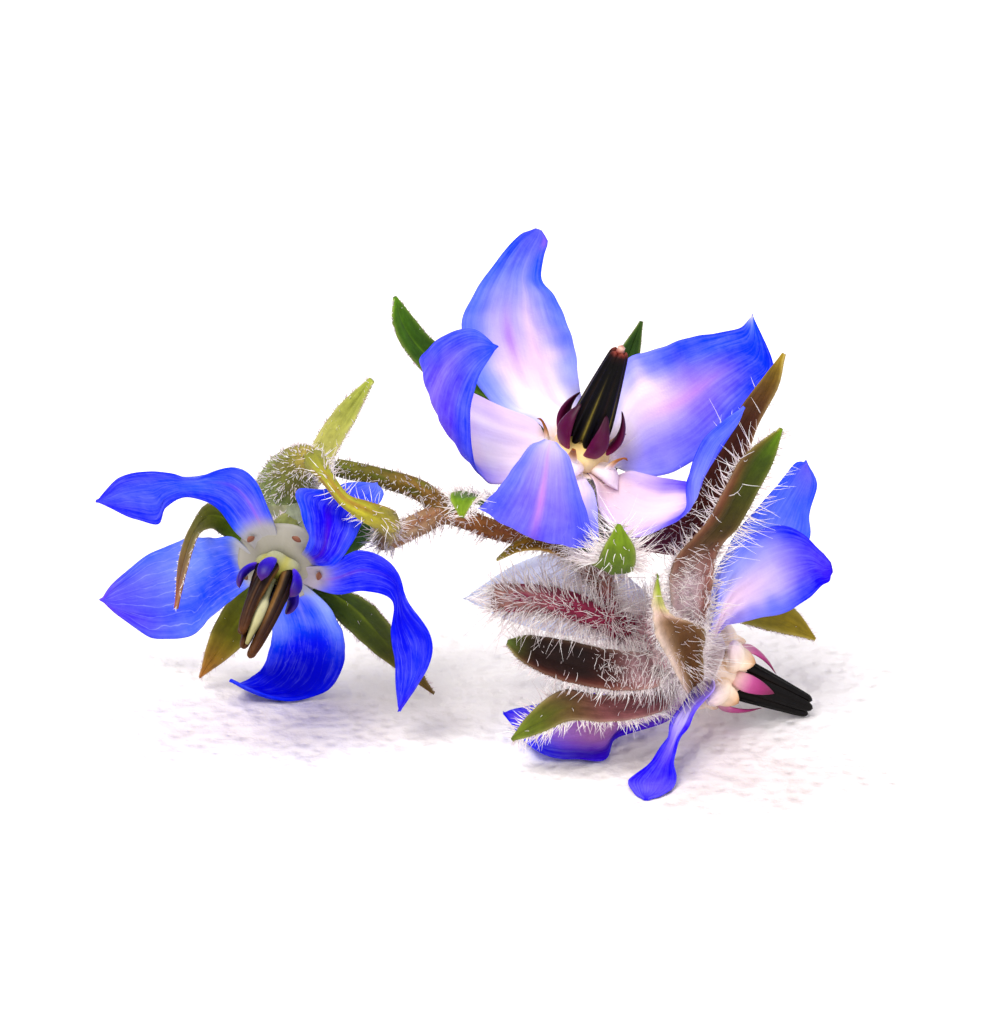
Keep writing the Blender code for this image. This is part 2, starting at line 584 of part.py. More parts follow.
def make_object(name, points, faces):
    mesh = bpy.data.meshes.new(name)
    mesh.from_pydata((np.asarray(points) * MM).tolist(), [], faces)
    solid = bmesh.new()
    solid.from_mesh(mesh)
    bmesh.ops.recalc_face_normals(solid, faces=solid.faces[:])
    solid.to_mesh(mesh)
    solid.free()
    made = bpy.data.objects.new(name, mesh)
    bpy.context.scene.collection.objects.link(made)
    return made


def fuse(name, pieces, solver="EXACT"):
    """One object from overlapping solids, by an applied Boolean union on a collection."""
    base = make_object(name, *pieces[0])
    if len(pieces) == 1:
        return base
    guests = bpy.data.collections.new(name + "_pieces")
    bpy.context.scene.collection.children.link(guests)
    for index, (points, faces) in enumerate(pieces[1:]):
        guest = make_object(f"{name}_piece_{index}", points, faces)
        bpy.context.scene.collection.objects.unlink(guest)
        guests.objects.link(guest)
    union = base.modifiers.new("Union", "BOOLEAN")
    union.operation = "UNION"
    union.operand_type = "COLLECTION"
    union.collection = guests
    union.solver = solver
    evaluated = base.evaluated_get(bpy.context.evaluated_depsgraph_get())
    fused = bpy.data.meshes.new_from_object(evaluated)
    base.modifiers.remove(union)
    base.data = fused
    for guest in list(guests.objects):
        bpy.data.objects.remove(guest)
    bpy.data.collections.remove(guests)
    return base


def tidy_mesh(made):
    """Flat spot where the piece meets the ground, and plain triangles throughout."""
    solid = bmesh.new()
    solid.from_mesh(made.data)
    bmesh.ops.remove_doubles(solid, verts=solid.verts[:], dist=0.000001)
    geometry = solid.verts[:] + solid.edges[:] + solid.faces[:]
    bmesh.ops.bisect_plane(solid, geom=geometry, plane_co=(0, 0, 0), plane_no=(0, 0, 1), clear_inner=True)
    open_edges = [edge for edge in solid.edges if edge.is_boundary]
    bmesh.ops.holes_fill(solid, edges=open_edges, sides=0)
    bmesh.ops.triangulate(solid, faces=solid.faces[:])
    bmesh.ops.recalc_face_normals(solid, faces=solid.faces[:])
    solid.to_mesh(made.data)
    solid.free()


def paint(made, colour, roughness):
    material = bpy.data.materials.new(made.name)
    material.use_nodes = True
    shader = material.node_tree.nodes["Principled BSDF"]
    shader.inputs["Base Color"].default_value = (*colour, 1.0)
    shader.inputs["Roughness"].default_value = roughness
    made.data.materials.clear()
    made.data.materials.append(material)


def build():
    for old in list(bpy.data.objects):
        bpy.data.objects.remove(old)
    finished = fuse("stem", stem())
    tidy_mesh(finished)
    paint(finished, (0.27, 0.16, 0.06), 0.6)
    # The corollas need the manifold solver: the exact one leaves four faces on an edge at two petal tips.
    makers = (
        ("corolla", corolla, "MANIFOLD", (0.12, 0.14, 0.83), 0.5),
        ("calyx", calyx, "EXACT", (0.16, 0.24, 0.05), 0.6),
        ("stamen_horns", stamen_horns, "EXACT", (0.32, 0.03, 0.22), 0.45),
        ("anther_cone", anther_cone, "EXACT", (0.012, 0.008, 0.01), 0.4),
        ("style", style, "EXACT", (0.4, 0.16, 0.08), 0.5),
    )
    for side in BLOOMS:
        for name, make, solver, colour, roughness in makers:
            finished = fuse(f"{name}_{side}", make(side), solver)
            tidy_mesh(finished)
            paint(finished, colour, roughness)


build()
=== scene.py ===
"""Looks of the borage sprig: petals, throats, sepals, stamens, stalks and their bristles.

Frame: +X along the sprig from the left bloom to the right one, +Y to the back, +Z up.  Sizes are in
millimetres until a mesh is made.  Petals and sepals are drawn by their two margins on a front view that
looks down by VIEW_TILT, as the sprig's solids are: a drawn point is (across, up, depth).
"""

import math

import bmesh
import bpy
import numpy as np
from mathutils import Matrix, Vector


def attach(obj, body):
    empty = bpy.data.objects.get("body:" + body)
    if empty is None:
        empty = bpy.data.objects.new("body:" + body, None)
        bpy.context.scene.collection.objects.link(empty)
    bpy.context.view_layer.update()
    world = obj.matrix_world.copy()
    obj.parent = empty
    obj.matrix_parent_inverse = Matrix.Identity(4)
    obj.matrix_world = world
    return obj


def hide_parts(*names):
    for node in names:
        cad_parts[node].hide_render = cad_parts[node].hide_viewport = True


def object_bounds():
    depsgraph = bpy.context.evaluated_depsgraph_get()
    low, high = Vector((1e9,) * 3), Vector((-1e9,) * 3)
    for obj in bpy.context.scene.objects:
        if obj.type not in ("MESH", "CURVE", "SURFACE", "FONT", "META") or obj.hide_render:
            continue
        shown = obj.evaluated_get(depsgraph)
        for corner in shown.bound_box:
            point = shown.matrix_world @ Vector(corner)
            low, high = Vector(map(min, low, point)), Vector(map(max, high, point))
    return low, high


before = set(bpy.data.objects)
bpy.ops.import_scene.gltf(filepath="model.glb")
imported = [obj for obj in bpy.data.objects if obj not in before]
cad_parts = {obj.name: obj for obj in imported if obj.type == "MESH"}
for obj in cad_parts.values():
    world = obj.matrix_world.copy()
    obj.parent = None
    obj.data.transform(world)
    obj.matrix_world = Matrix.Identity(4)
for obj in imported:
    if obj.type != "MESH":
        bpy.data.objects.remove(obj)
cad_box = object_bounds()

MM = 0.001
VIEW_TILT = math.radians(28.0)
# The foot's middle on the drawing; it is the sprig's origin.
FOOT = np.array((0.313, -0.362, 0.0))
# Least length that a direction is divided by, and gap that is welded shut.
TINY = 1e-9
WELD = 1e-4
CURVE_STEPS = 48
# A slanting direction, to set the first side of a rolled path or a bristle by.
SKEW = (0.31, 0.52, 0.8)

# Grids: rows from root to tip, and columns.  Stalks have rows for each of their stations.
PETAL_GRID = (64, 32)
SEPAL_GRID = (40, 12)
DISH_GRID = (26, 60)
FILAMENT_GRID = (24, 60)
ARM_GRID = (26, 18)
ANTHER_GRID = (40, 28)
STYLE_GRID = (48, 14)
CUP_GRID = (40, 40)
STALK_ROWS = 16
STALK_SIDES = 28

# Walls, and the share of a wall's thickness that is left at its rims.
PETAL_THICKNESS = 0.22
SEPAL_THICKNESS = 0.3
RIM_WALL = 0.35
# A petal's lowest point over the cloth, between the faces of its wall.
REST_HEIGHT = 0.14

# Petal: cup, pinched rib, folds, billows, ruffled rims and wavering outline; widths are shares of its half
# width.  The tips are the least half widths.
PETAL_CUP = 0.14
PETAL_RIB = 0.1
PETAL_RIB_WIDTH = 0.08
PETAL_FOLD = 0.045
PETAL_FOLDS = 2.5
PETAL_BILLOW = 0.048
PETAL_RUFFLE = 0.22
PETAL_WAVER = 0.02
PETAL_TIP = 0.03
TIP_ROUNDING = 0.45
SEPAL_CUP = 0.2
SEPAL_CREASE = 0.12
SEPAL_CREASE_WIDTH = 0.16
SEPAL_WAVER = 0.03
SEPAL_TIP = 0.04
SEPAL_ROOT_SHARE = 0.6
SEPAL_RIM = "#d8cdb8"
SEPAL_RIM_STRENGTH = 0.35
# Half breadth of a petal and of a sepal on the surface map, and the whole map of a turned form.
PETAL_MAP = 3.5
SEPAL_MAP = 1.2
TURNED_MAP = (8.0, 4.0)

# Each bloom as in the solids: its throat, the ways that its face and its stamens point, the turn of its
# first throat scale in degrees, and its calyx's cup as drawn points with radii.
BLOOMS = {
    "left": {"throat": (-11.1, 10.5, -0.5), "faces": (-0.23, -0.95, -0.15),
             "stamens": (-0.32, -0.84, -0.44), "turn": -8.0,
             "cup": ((-10.2, 12.6, 1.9, 1.9), (-10.8, 15.0, 2.9, 1.9), (-10.0, 16.6, 1.6, 1.2),
                     (-9.2, 16.9, 0.5, 0.75))},
    "centre": {"throat": (7.2, 16.75, 0.5), "faces": (0.34, 0.05, 0.94), "stamens": (0.34, 0.05, 0.94),
               "turn": 37.0,
               "cup": ((6.8, 14.6, 0.4, 1.9), (6.8, 13.5, 0.3, 1.7), (6.8, 12.6, 0.2, 0.85))},
    "right": {"throat": (15.3, 4.1, 0.6), "faces": (0.85, 0.18, -0.49), "stamens": (0.85, 0.18, -0.49),
              "turn": 12.0,
              "cup": ((13.1, 5.1, -0.4, 2.2), (11.8, 5.8, -0.6, 2.1), (10.6, 6.3, -0.9, 0.95))},
}
# Stalks: drawn points along the middle, each with its radius.
STALKS = {
    "stub": ((2.2, 8.3, -2.8, 0.85), (5.3, 8.2, -2.6, 0.85), (8.1, 7.4, -2.0, 0.85),
             (10.2, 6.5, -1.0, 0.95)),
    "riser": ((9.1, 7.0, -1.8, 0.75), (8.9, 8.9, -0.8, 0.75), (7.8, 10.6, 0.1, 0.75),
              (6.8, 12.0, 0.2, 0.8)),
    "runner": ((8.1, 10.9, 0.4, 0.65), (5.3, 11.8, 1.0, 0.6), (2.2, 12.5, 1.6, 0.6),
               (-0.8, 13.5, 2.0, 0.65),
               (-2.5, 12.9, 1.2, 0.7), (-4.6, 11.9, -0.6, 0.65), (-4.5, 13.0, -2.6, 0.8),
               (-5.8, 13.7, -3.9, 0.65), (-7.1, 14.4, -3.8, 0.42), (-8.2, 15.8, -2.6, 0.45),
               (-8.95, 16.8, 0.05, 0.7)),
    "side": ((-0.6, 13.6, 2.0, 0.65), (-2.5, 15.0, 2.8, 0.65), (-5.0, 15.8, 3.4, 0.6),
             (-7.6, 16.4, 3.6, 0.55)),
}
# Bracts, by their margins, as petals and sepals are.
BRACTS = {
    "fork": (((8.0, 10.2, -0.3), (7.7, 11.0, 0.1)), ((5.4, 11.2, -2.8), (5.2, 12.1, -2.2)),
             ((3.8, 11.2, -3.4), (3.6, 11.9, -3.0)), ((2.3, 10.6, -3.6), (2.3, 10.8, -3.5))),
}
# Stations of each petal and sepal from root to tip, each a point on its one margin and on its other.
PETALS = {
    "left": {
        "upper_left": (
            ((-12.4, 11.1, -0.3), (-11.4, 12.6, -0.8)),
            ((-13.7, 12.3, -0.2), (-12.5, 15.2, -2.2)),
            ((-15.0, 13.7, 0.8), (-14.0, 16.3, -2.2)),
            ((-16.9, 14.5, 2.6), (-16.3, 15.8, -0.6)),
            ((-18.3, 14.0, 3.5), (-17.9, 15.9, 0.6)),
            ((-18.8, 12.8, 3.8), (-19.4, 16.1, 1.4)),
            ((-20.3, 13.2, 4.2), (-21.2, 15.7, 2.8)),
            ((-22.7, 14.3, 4.8), (-22.7, 14.3, 4.8)),
        ),
        "left": (
            ((-12.4, 9.5, 0.0), (-12.6, 10.8, -0.2)),
            ((-13.8, 8.5, 1.6), (-14.1, 12.0, 0.4)),
            ((-15.5, 7.1, 3.8), (-15.9, 12.0, 2.4)),
            ((-17.2, 5.7, 6.2), (-17.6, 11.8, 5.0)),
            ((-19.4, 5.8, 7.1), (-19.7, 10.8, 6.3)),
            ((-21.2, 6.9, 6.8), (-21.6, 9.3, 6.7)),
            ((-22.6, 8.1, 6.5), (-22.6, 8.1, 6.5)),
        ),
        "resting": (
            ((-10.0, 9.4, -0.6), (-11.6, 9.0, -0.1)),
            ((-8.5, 8.1, -0.5), (-11.9, 7.7, 1.4)),
            ((-7.4, 6.3, 0.8), (-11.8, 5.6, 3.4)),
            ((-7.3, 4.1, 3.5), (-12.4, 3.9, 5.1)),
            ((-8.5, 2.3, 3.9), (-13.1, 3.3, 5.4)),
            ((-11.2, 1.9, 3.3), (-13.8, 3.0, 4.6)),
            ((-14.4, 3.1, 3.0), (-14.4, 3.1, 3.0)),
        ),
        "hanging": (
            ((-9.9, 10.2, -0.8), (-9.9, 9.3, -0.6)),
            ((-8.1, 10.4, -1.9), (-8.0, 8.6, -1.0)),
            ((-6.1, 11.3, -4.2), (-5.9, 8.6, -2.1)),
            ((-4.3, 10.3, -4.9), (-4.2, 8.1, -1.7)),
            ((-3.2, 8.0, -3.6), (-4.2, 6.1, -1.6)),
            ((-1.8, 6.1, -3.8), (-4.1, 4.1, -1.0)),
            ((-2.1, 3.9, -3.2), (-4.0, 2.5, -1.2)),
            ((-3.8, 1.2, -1.6), (-3.8, 1.2, -1.6)),
        ),
        "upper_right": (
            ((-9.9, 11.0, -0.9), (-9.0, 10.3, -1.0)),
            ((-9.4, 11.9, -2.2), (-7.7, 10.4, -2.8)),
            ((-9.8, 13.6, -3.0), (-6.4, 12.1, -3.0)),
            ((-10.0, 15.0, -1.8), (-5.8, 13.4, -1.8)),
            ((-8.0, 15.1, -0.1), (-5.1, 14.1, -1.0)),
            ((-6.9, 15.5, 1.0), (-4.7, 14.8, -0.1)),
            ((-5.1, 15.4, 1.0), (-5.1, 15.4, 1.0)),
        ),
    },
    "centre": {
        "back": (
            ((5.9, 17.3, 0.8), (7.2, 17.8, 3.0)),
            ((5.0, 19.1, 3.0), (7.6, 20.1, 3.8)),
            ((2.5, 19.9, 4.6), (7.4, 21.6, 3.9)),
            ((0.6, 22.5, 5.8), (7.1, 23.8, 4.6)),
            ((0.1, 25.3, 6.2), (6.5, 25.7, 5.2)),
            ((0.9, 27.2, 6.4), (5.9, 27.0, 5.8)),
            ((2.0, 28.8, 6.8), (5.1, 28.0, 6.4)),
            ((3.1, 30.2, 7.1), (5.2, 29.4, 6.9)),
            ((4.0, 31.0, 7.4), (5.5, 30.5, 7.3)),
            ((4.6, 31.3, 7.6), (5.2, 31.0, 7.6)),
        ),
        "left": (
            ((6.0, 16.2, -1.7), (5.5, 17.3, 0.5)),
            ((4.5, 15.6, -1.7), (4.8, 19.2, 1.4)),
            ((2.6, 15.4, -1.8), (1.9, 20.5, 2.0)),
            ((1.6, 15.6, -2.2), (-1.2, 22.0, 2.2)),
            ((1.1, 16.4, -3.0), (-2.4, 22.8, 1.2)),
            ((0.7, 18.1, -3.6), (-2.0, 23.6, 0.0)),
            ((0.7, 20.1, -3.8), (-0.9, 24.5, -0.8)),
            ((1.3, 22.1, -3.8), (0.8, 24.9, -1.8)),
            ((2.4, 23.8, -3.2), (2.4, 23.8, -3.2)),
        ),
        "front": (
            ((7.9, 15.5, -1.9), (6.4, 15.7, -2.6)),
            ((8.4, 14.6, -3.3), (5.6, 15.2, -3.2)),
            ((8.6, 12.5, -4.9), (2.8, 14.1, -4.4)),
            ((8.5, 11.4, -6.0), (1.2, 13.9, -5.8)),
            ((8.0, 13.1, -7.0), (2.2, 14.9, -6.8)),
            ((7.3, 15.3, -7.4), (3.4, 16.5, -7.2)),
            ((6.8, 16.9, -7.3), (4.2, 17.6, -7.1)),
            ((6.3, 17.8, -7.0), (4.9, 18.2, -6.9)),
        ),
        "front_right": (
            ((9.3, 15.8, -0.2), (8.4, 15.4, -1.9)),
            ((10.7, 16.2, -0.4), (8.8, 13.4, -2.8)),
            ((12.2, 15.8, -0.6), (10.6, 12.1, -4.3)),
            ((13.8, 15.6, -1.4), (12.8, 12.8, -5.0)),
            ((14.6, 15.3, -3.0), (14.0, 13.8, -5.6)),
            ((15.2, 16.0, -3.6), (13.9, 15.6, -5.6)),
            ((16.2, 17.9, -3.6), (14.9, 17.9, -5.2)),
            ((17.1, 19.0, -3.4), (16.2, 19.2, -4.6)),
            ((17.5, 20.1, -4.0), (17.5, 20.1, -4.0)),
        ),
        "right": (
            ((8.1, 17.5, 2.9), (9.4, 16.5, 1.5)),
            ((9.3, 20.2, 4.0), (11.0, 15.9, 0.7)),
            ((10.2, 22.9, 5.0), (12.5, 15.9, 0.8)),
            ((12.0, 23.7, 5.4), (14.9, 17.1, 1.4)),
            ((14.1, 24.4, 5.2), (17.1, 19.5, 2.2)),
            ((15.9, 24.8, 6.0), (18.8, 21.3, 3.4)),
            ((17.4, 25.1, 7.0), (19.5, 22.6, 5.0)),
            ((18.2, 25.9, 8.2), (18.2, 25.9, 8.2)),
        ),
    },
    "right": {
        "near": (
            ((15.1, 4.7, 1.2), (16.0, 5.8, 1.0)),
            ((15.8, 7.4, -1.3), (16.5, 6.4, -0.4)),
            ((16.2, 9.9, -1.8), (17.8, 6.9, -1.0)),
            ((17.6, 11.9, -2.0), (19.9, 7.3, -1.6)),
            ((19.5, 12.8, -2.0), (21.3, 8.0, -2.0)),
            ((21.2, 12.3, -2.1), (22.4, 9.0, -2.6)),
            ((22.3, 11.3, -1.9), (22.9, 9.3, -2.5)),
            ((23.0, 10.8, -1.5), (23.1, 9.6, -2.2)),
        ),
        "far": (
            ((15.8, 5.0, 0.5), (16.1, 5.9, 1.0)),
            ((15.5, 8.1, 0.2), (16.9, 7.5, 1.6)),
            ((16.4, 10.9, 0.6), (19.5, 9.4, 2.2)),
            ((18.0, 13.3, 0.8), (21.6, 11.6, 2.4)),
            ((19.8, 15.4, 1.2), (21.8, 13.4, 2.4)),
            ((20.8, 16.6, 1.6), (22.2, 15.3, 2.2)),
            ((21.5, 16.8, 1.9), (21.5, 16.8, 1.9)),
        ),
        "twisted": (
            ((15.8, 2.6, -3.0), (15.0, 3.4, 0.4)),
            ((14.8, 1.6, -3.4), (14.0, 1.9, -1.8)),
            ((14.2, 0.4, -4.6), (13.1, 0.6, -3.4)),
            ((13.5, -0.7, -6.2), (12.8, -0.6, -4.6)),
            ((13.3, -1.8, -7.0), (11.9, -1.8, -5.4)),
            ((13.4, -3.0, -7.4), (10.5, -3.0, -6.6)),
            ((12.8, -3.7, -8.4), (10.7, -3.7, -8.0)),
            ((11.9, -4.2, -9.1), (11.2, -4.2, -9.1)),
        ),
        "under": (
            ((15.2, 2.3, -2.4), (14.5, 3.4, 0.6)),
            ((12.8, 0.5, -0.6), (13.0, 2.6, 0.8)),
            ((9.8, -0.4, -2.2), (11.2, 2.5, 1.4)),
            ((9.0, -1.7, -4.3), (8.8, 2.3, 1.2)),
            ((6.6, -1.7, -4.3), (6.2, 1.9, 0.6)),
            ((4.4, -0.9, -3.7), (4.0, 1.5, 0.2)),
            ((2.7, 1.1, 0.0), (2.7, 1.1, 0.0)),
        ),
        "reflexed": (
            ((14.6, 4.1, 1.4), (15.0, 5.4, 2.4)),
            ((11.9, 5.0, 3.0), (12.2, 8.1, 4.4)),
            ((8.8, 5.6, 3.6), (9.4, 10.3, 5.4)),
            ((5.6, 6.1, 4.0), (6.2, 11.1, 5.8)),
            ((3.1, 6.8, 4.6), (3.4, 10.3, 5.8)),
            ((0.2, 8.2, 5.4), (0.2, 8.2, 5.4)),
        ),
    },
}
SEPALS = {
    "left": {
        "s1": (
            ((-12.6, 11.1, 2.0), (-12.2, 12.7, 1.4)),
            ((-14.5, 12.0, 2.8), (-13.5, 13.7, 2.6)),
            ((-15.4, 12.6, 1.7), (-15.6, 14.2, 2.1)),
            ((-16.3, 12.1, 0.6), (-16.8, 12.6, 1.5)),
            ((-17.0, 10.0, 0.2), (-17.5, 10.5, 1.1)),
            ((-17.7, 7.6, 1.1), (-17.7, 7.7, 1.3)),
        ),
        "s2": (
            ((-10.9, 9.2, 2.7), (-12.8, 10.3, 3.0)),
            ((-12.4, 7.0, 5.3), (-14.4, 8.2, 5.8)),
            ((-13.9, 5.0, 4.6), (-15.6, 6.1, 5.0)),
            ((-16.3, 3.2, 5.2), (-16.4, 3.3, 5.2)),
        ),
        "s3": (
            ((-8.1, 9.5, 0.8), (-9.6, 9.0, 2.1)),
            ((-5.5, 7.9, 1.5), (-7.5, 6.8, 2.2)),
            ((-3.6, 5.5, 2.5), (-5.2, 4.7, 2.9)),
            ((-1.6, 2.3, 3.1), (-1.7, 2.2, 3.1)),
        ),
        "s4": (
            ((-9.5, 12.0, 0.0), (-8.3, 10.3, 0.4)),
            ((-7.8, 12.9, 0.3), (-7.0, 10.8, 0.1)),
            ((-6.0, 13.5, 1.6), (-5.8, 11.7, 1.2)),
            ((-4.2, 13.2, 3.3), (-4.3, 13.1, 3.3)),
        ),
        "s5": (
            ((-9.5, 11.9, -0.2), (-11.5, 13.1, 0.1)),
            ((-10.5, 14.9, 5.1), (-8.7, 15.4, 4.0)),
            ((-9.0, 18.2, 7.0), (-7.6, 17.5, 5.5)),
            ((-7.5, 20.3, 7.5), (-6.5, 19.4, 6.2)),
            ((-5.6, 22.0, 7.3), (-5.4, 21.7, 6.9)),
        ),
    },
    "centre": {
        "s1": (
            ((6.9, 14.7, 1.8), (9.1, 14.1, 1.4)),
            ((7.9, 18.4, 4.2), (10.1, 17.8, 3.8)),
            ((9.2, 22.4, 6.5), (11.0, 21.8, 6.3)),
            ((11.2, 25.5, 8.0), (11.4, 25.5, 8.0)),
        ),
        "s2": (
            ((5.8, 14.0, 0.6), (7.9, 14.7, 1.8)),
            ((4.3, 16.6, 3.0), (6.3, 17.4, 4.2)),
            ((2.2, 19.3, 5.9), (3.8, 20.7, 7.3)),
            ((-0.2, 20.7, 6.4), (0.9, 22.5, 8.0)),
            ((-2.8, 22.9, 6.7), (-1.7, 24.4, 8.1)),
            ((-4.1, 25.1, 6.9), (-3.0, 25.9, 7.9)),
            ((-4.1, 26.9, 7.4), (-3.9, 27.0, 7.4)),
        ),
        "s3": (
            ((6.9, 12.7, -1.3), (5.8, 14.0, 0.9)),
            ((4.9, 13.3, -2.7), (3.6, 14.4, -0.3)),
            ((3.1, 13.8, -3.5), (1.5, 14.6, -1.7)),
            ((1.7, 14.4, -5.0), (0.1, 14.9, -3.7)),
            ((1.0, 14.4, -6.8), (-0.6, 14.6, -6.2)),
            ((0.3, 13.3, -7.6), (0.0, 13.4, -7.5)),
        ),
        "s4": (
            ((9.1, 12.6, -1.0), (6.9, 12.2, -1.8)),
            ((9.9, 11.3, -3.4), (7.6, 10.9, -4.2)),
            ((10.6, 10.0, -6.3), (8.4, 10.5, -6.5)),
            ((10.8, 11.3, -7.8), (8.9, 11.5, -7.8)),
            ((9.9, 12.9, -7.6), (9.7, 12.9, -7.6)),
        ),
        "s5": (
            ((8.7, 13.6, 1.5), (8.2, 11.9, -0.7)),
            ((11.5, 13.7, 0.6), (11.6, 11.2, -1.4)),
            ((13.8, 14.6, 0.3), (14.9, 11.2, -1.3)),
            ((15.4, 17.0, 0.5), (17.0, 14.9, -0.8)),
            ((17.1, 19.7, 1.5), (18.4, 18.9, 0.3)),
            ((18.8, 22.0, 2.5), (19.7, 21.4, 1.7)),
            ((20.0, 23.5, 3.1), (20.1, 23.4, 2.9)),
        ),
    },
    "right": {
        "a": (
            ((13.5, 4.4, -2.9), (14.6, 5.3, -1.1)),
            ((13.1, 7.7, -3.6), (15.5, 7.9, -2.9)),
            ((13.2, 10.5, -4.1), (15.9, 11.0, -3.5)),
            ((15.2, 13.0, -4.3), (17.2, 12.7, -3.7)),
            ((16.2, 14.8, -4.2), (18.2, 14.5, -3.7)),
            ((17.4, 17.0, -3.9), (19.3, 16.6, -3.6)),
            ((19.7, 18.8, -3.4), (19.9, 18.7, -3.4)),
        ),
        "c": (
            ((12.3, 2.8, -3.8), (12.0, 5.0, -2.2)),
            ((9.4, 2.6, -5.1), (9.4, 5.1, -3.3)),
            ((6.0, 3.3, -5.4), (6.5, 5.7, -3.4)),
            ((3.8, 4.4, -5.0), (4.2, 6.0, -3.4)),
            ((2.9, 5.4, -4.2), (3.0, 5.7, -3.8)),
        ),
        "d": (
            ((13.2, 1.8, -1.9), (12.3, 3.1, -0.7)),
            ((11.5, 0.9, -4.6), (10.5, 2.3, -3.0)),
            ((9.0, 0.6, -6.0), (8.5, 2.3, -4.4)),
            ((6.9, 0.7, -6.7), (6.4, 2.6, -4.9)),
            ((5.0, -0.1, -6.5), (4.5, 1.3, -5.1)),
            ((3.3, -0.6, -5.7), (3.2, -0.4, -5.5)),
        ),
        "e": (
            ((13.9, 8.6, 3.5), (14.9, 7.0, 1.7)),
            ((16.0, 8.6, 5.3), (16.7, 6.9, 3.3)),
            ((18.6, 8.2, 6.0), (18.6, 6.4, 3.8)),
            ((20.9, 7.6, 5.6), (20.3, 6.0, 4.0)),
            ((22.3, 5.7, 4.5), (22.2, 5.6, 4.3)),
        ),
        "b": (
            ((14.1, 2.3, -2.4), (15.0, 3.1, -2.0)),
            ((13.0, 4.4, -4.4), (15.1, 4.9, -2.6)),
            ((12.1, 6.1, -5.8), (15.1, 6.4, -3.4)),
            ((11.9, 7.5, -6.4), (13.2, 7.3, -5.2)),
            ((11.9, 8.6, -6.6), (12.6, 8.1, -6.2)),
            ((12.2, 9.8, -6.6), (12.2, 9.8, -6.6)),
        ),
    },
}

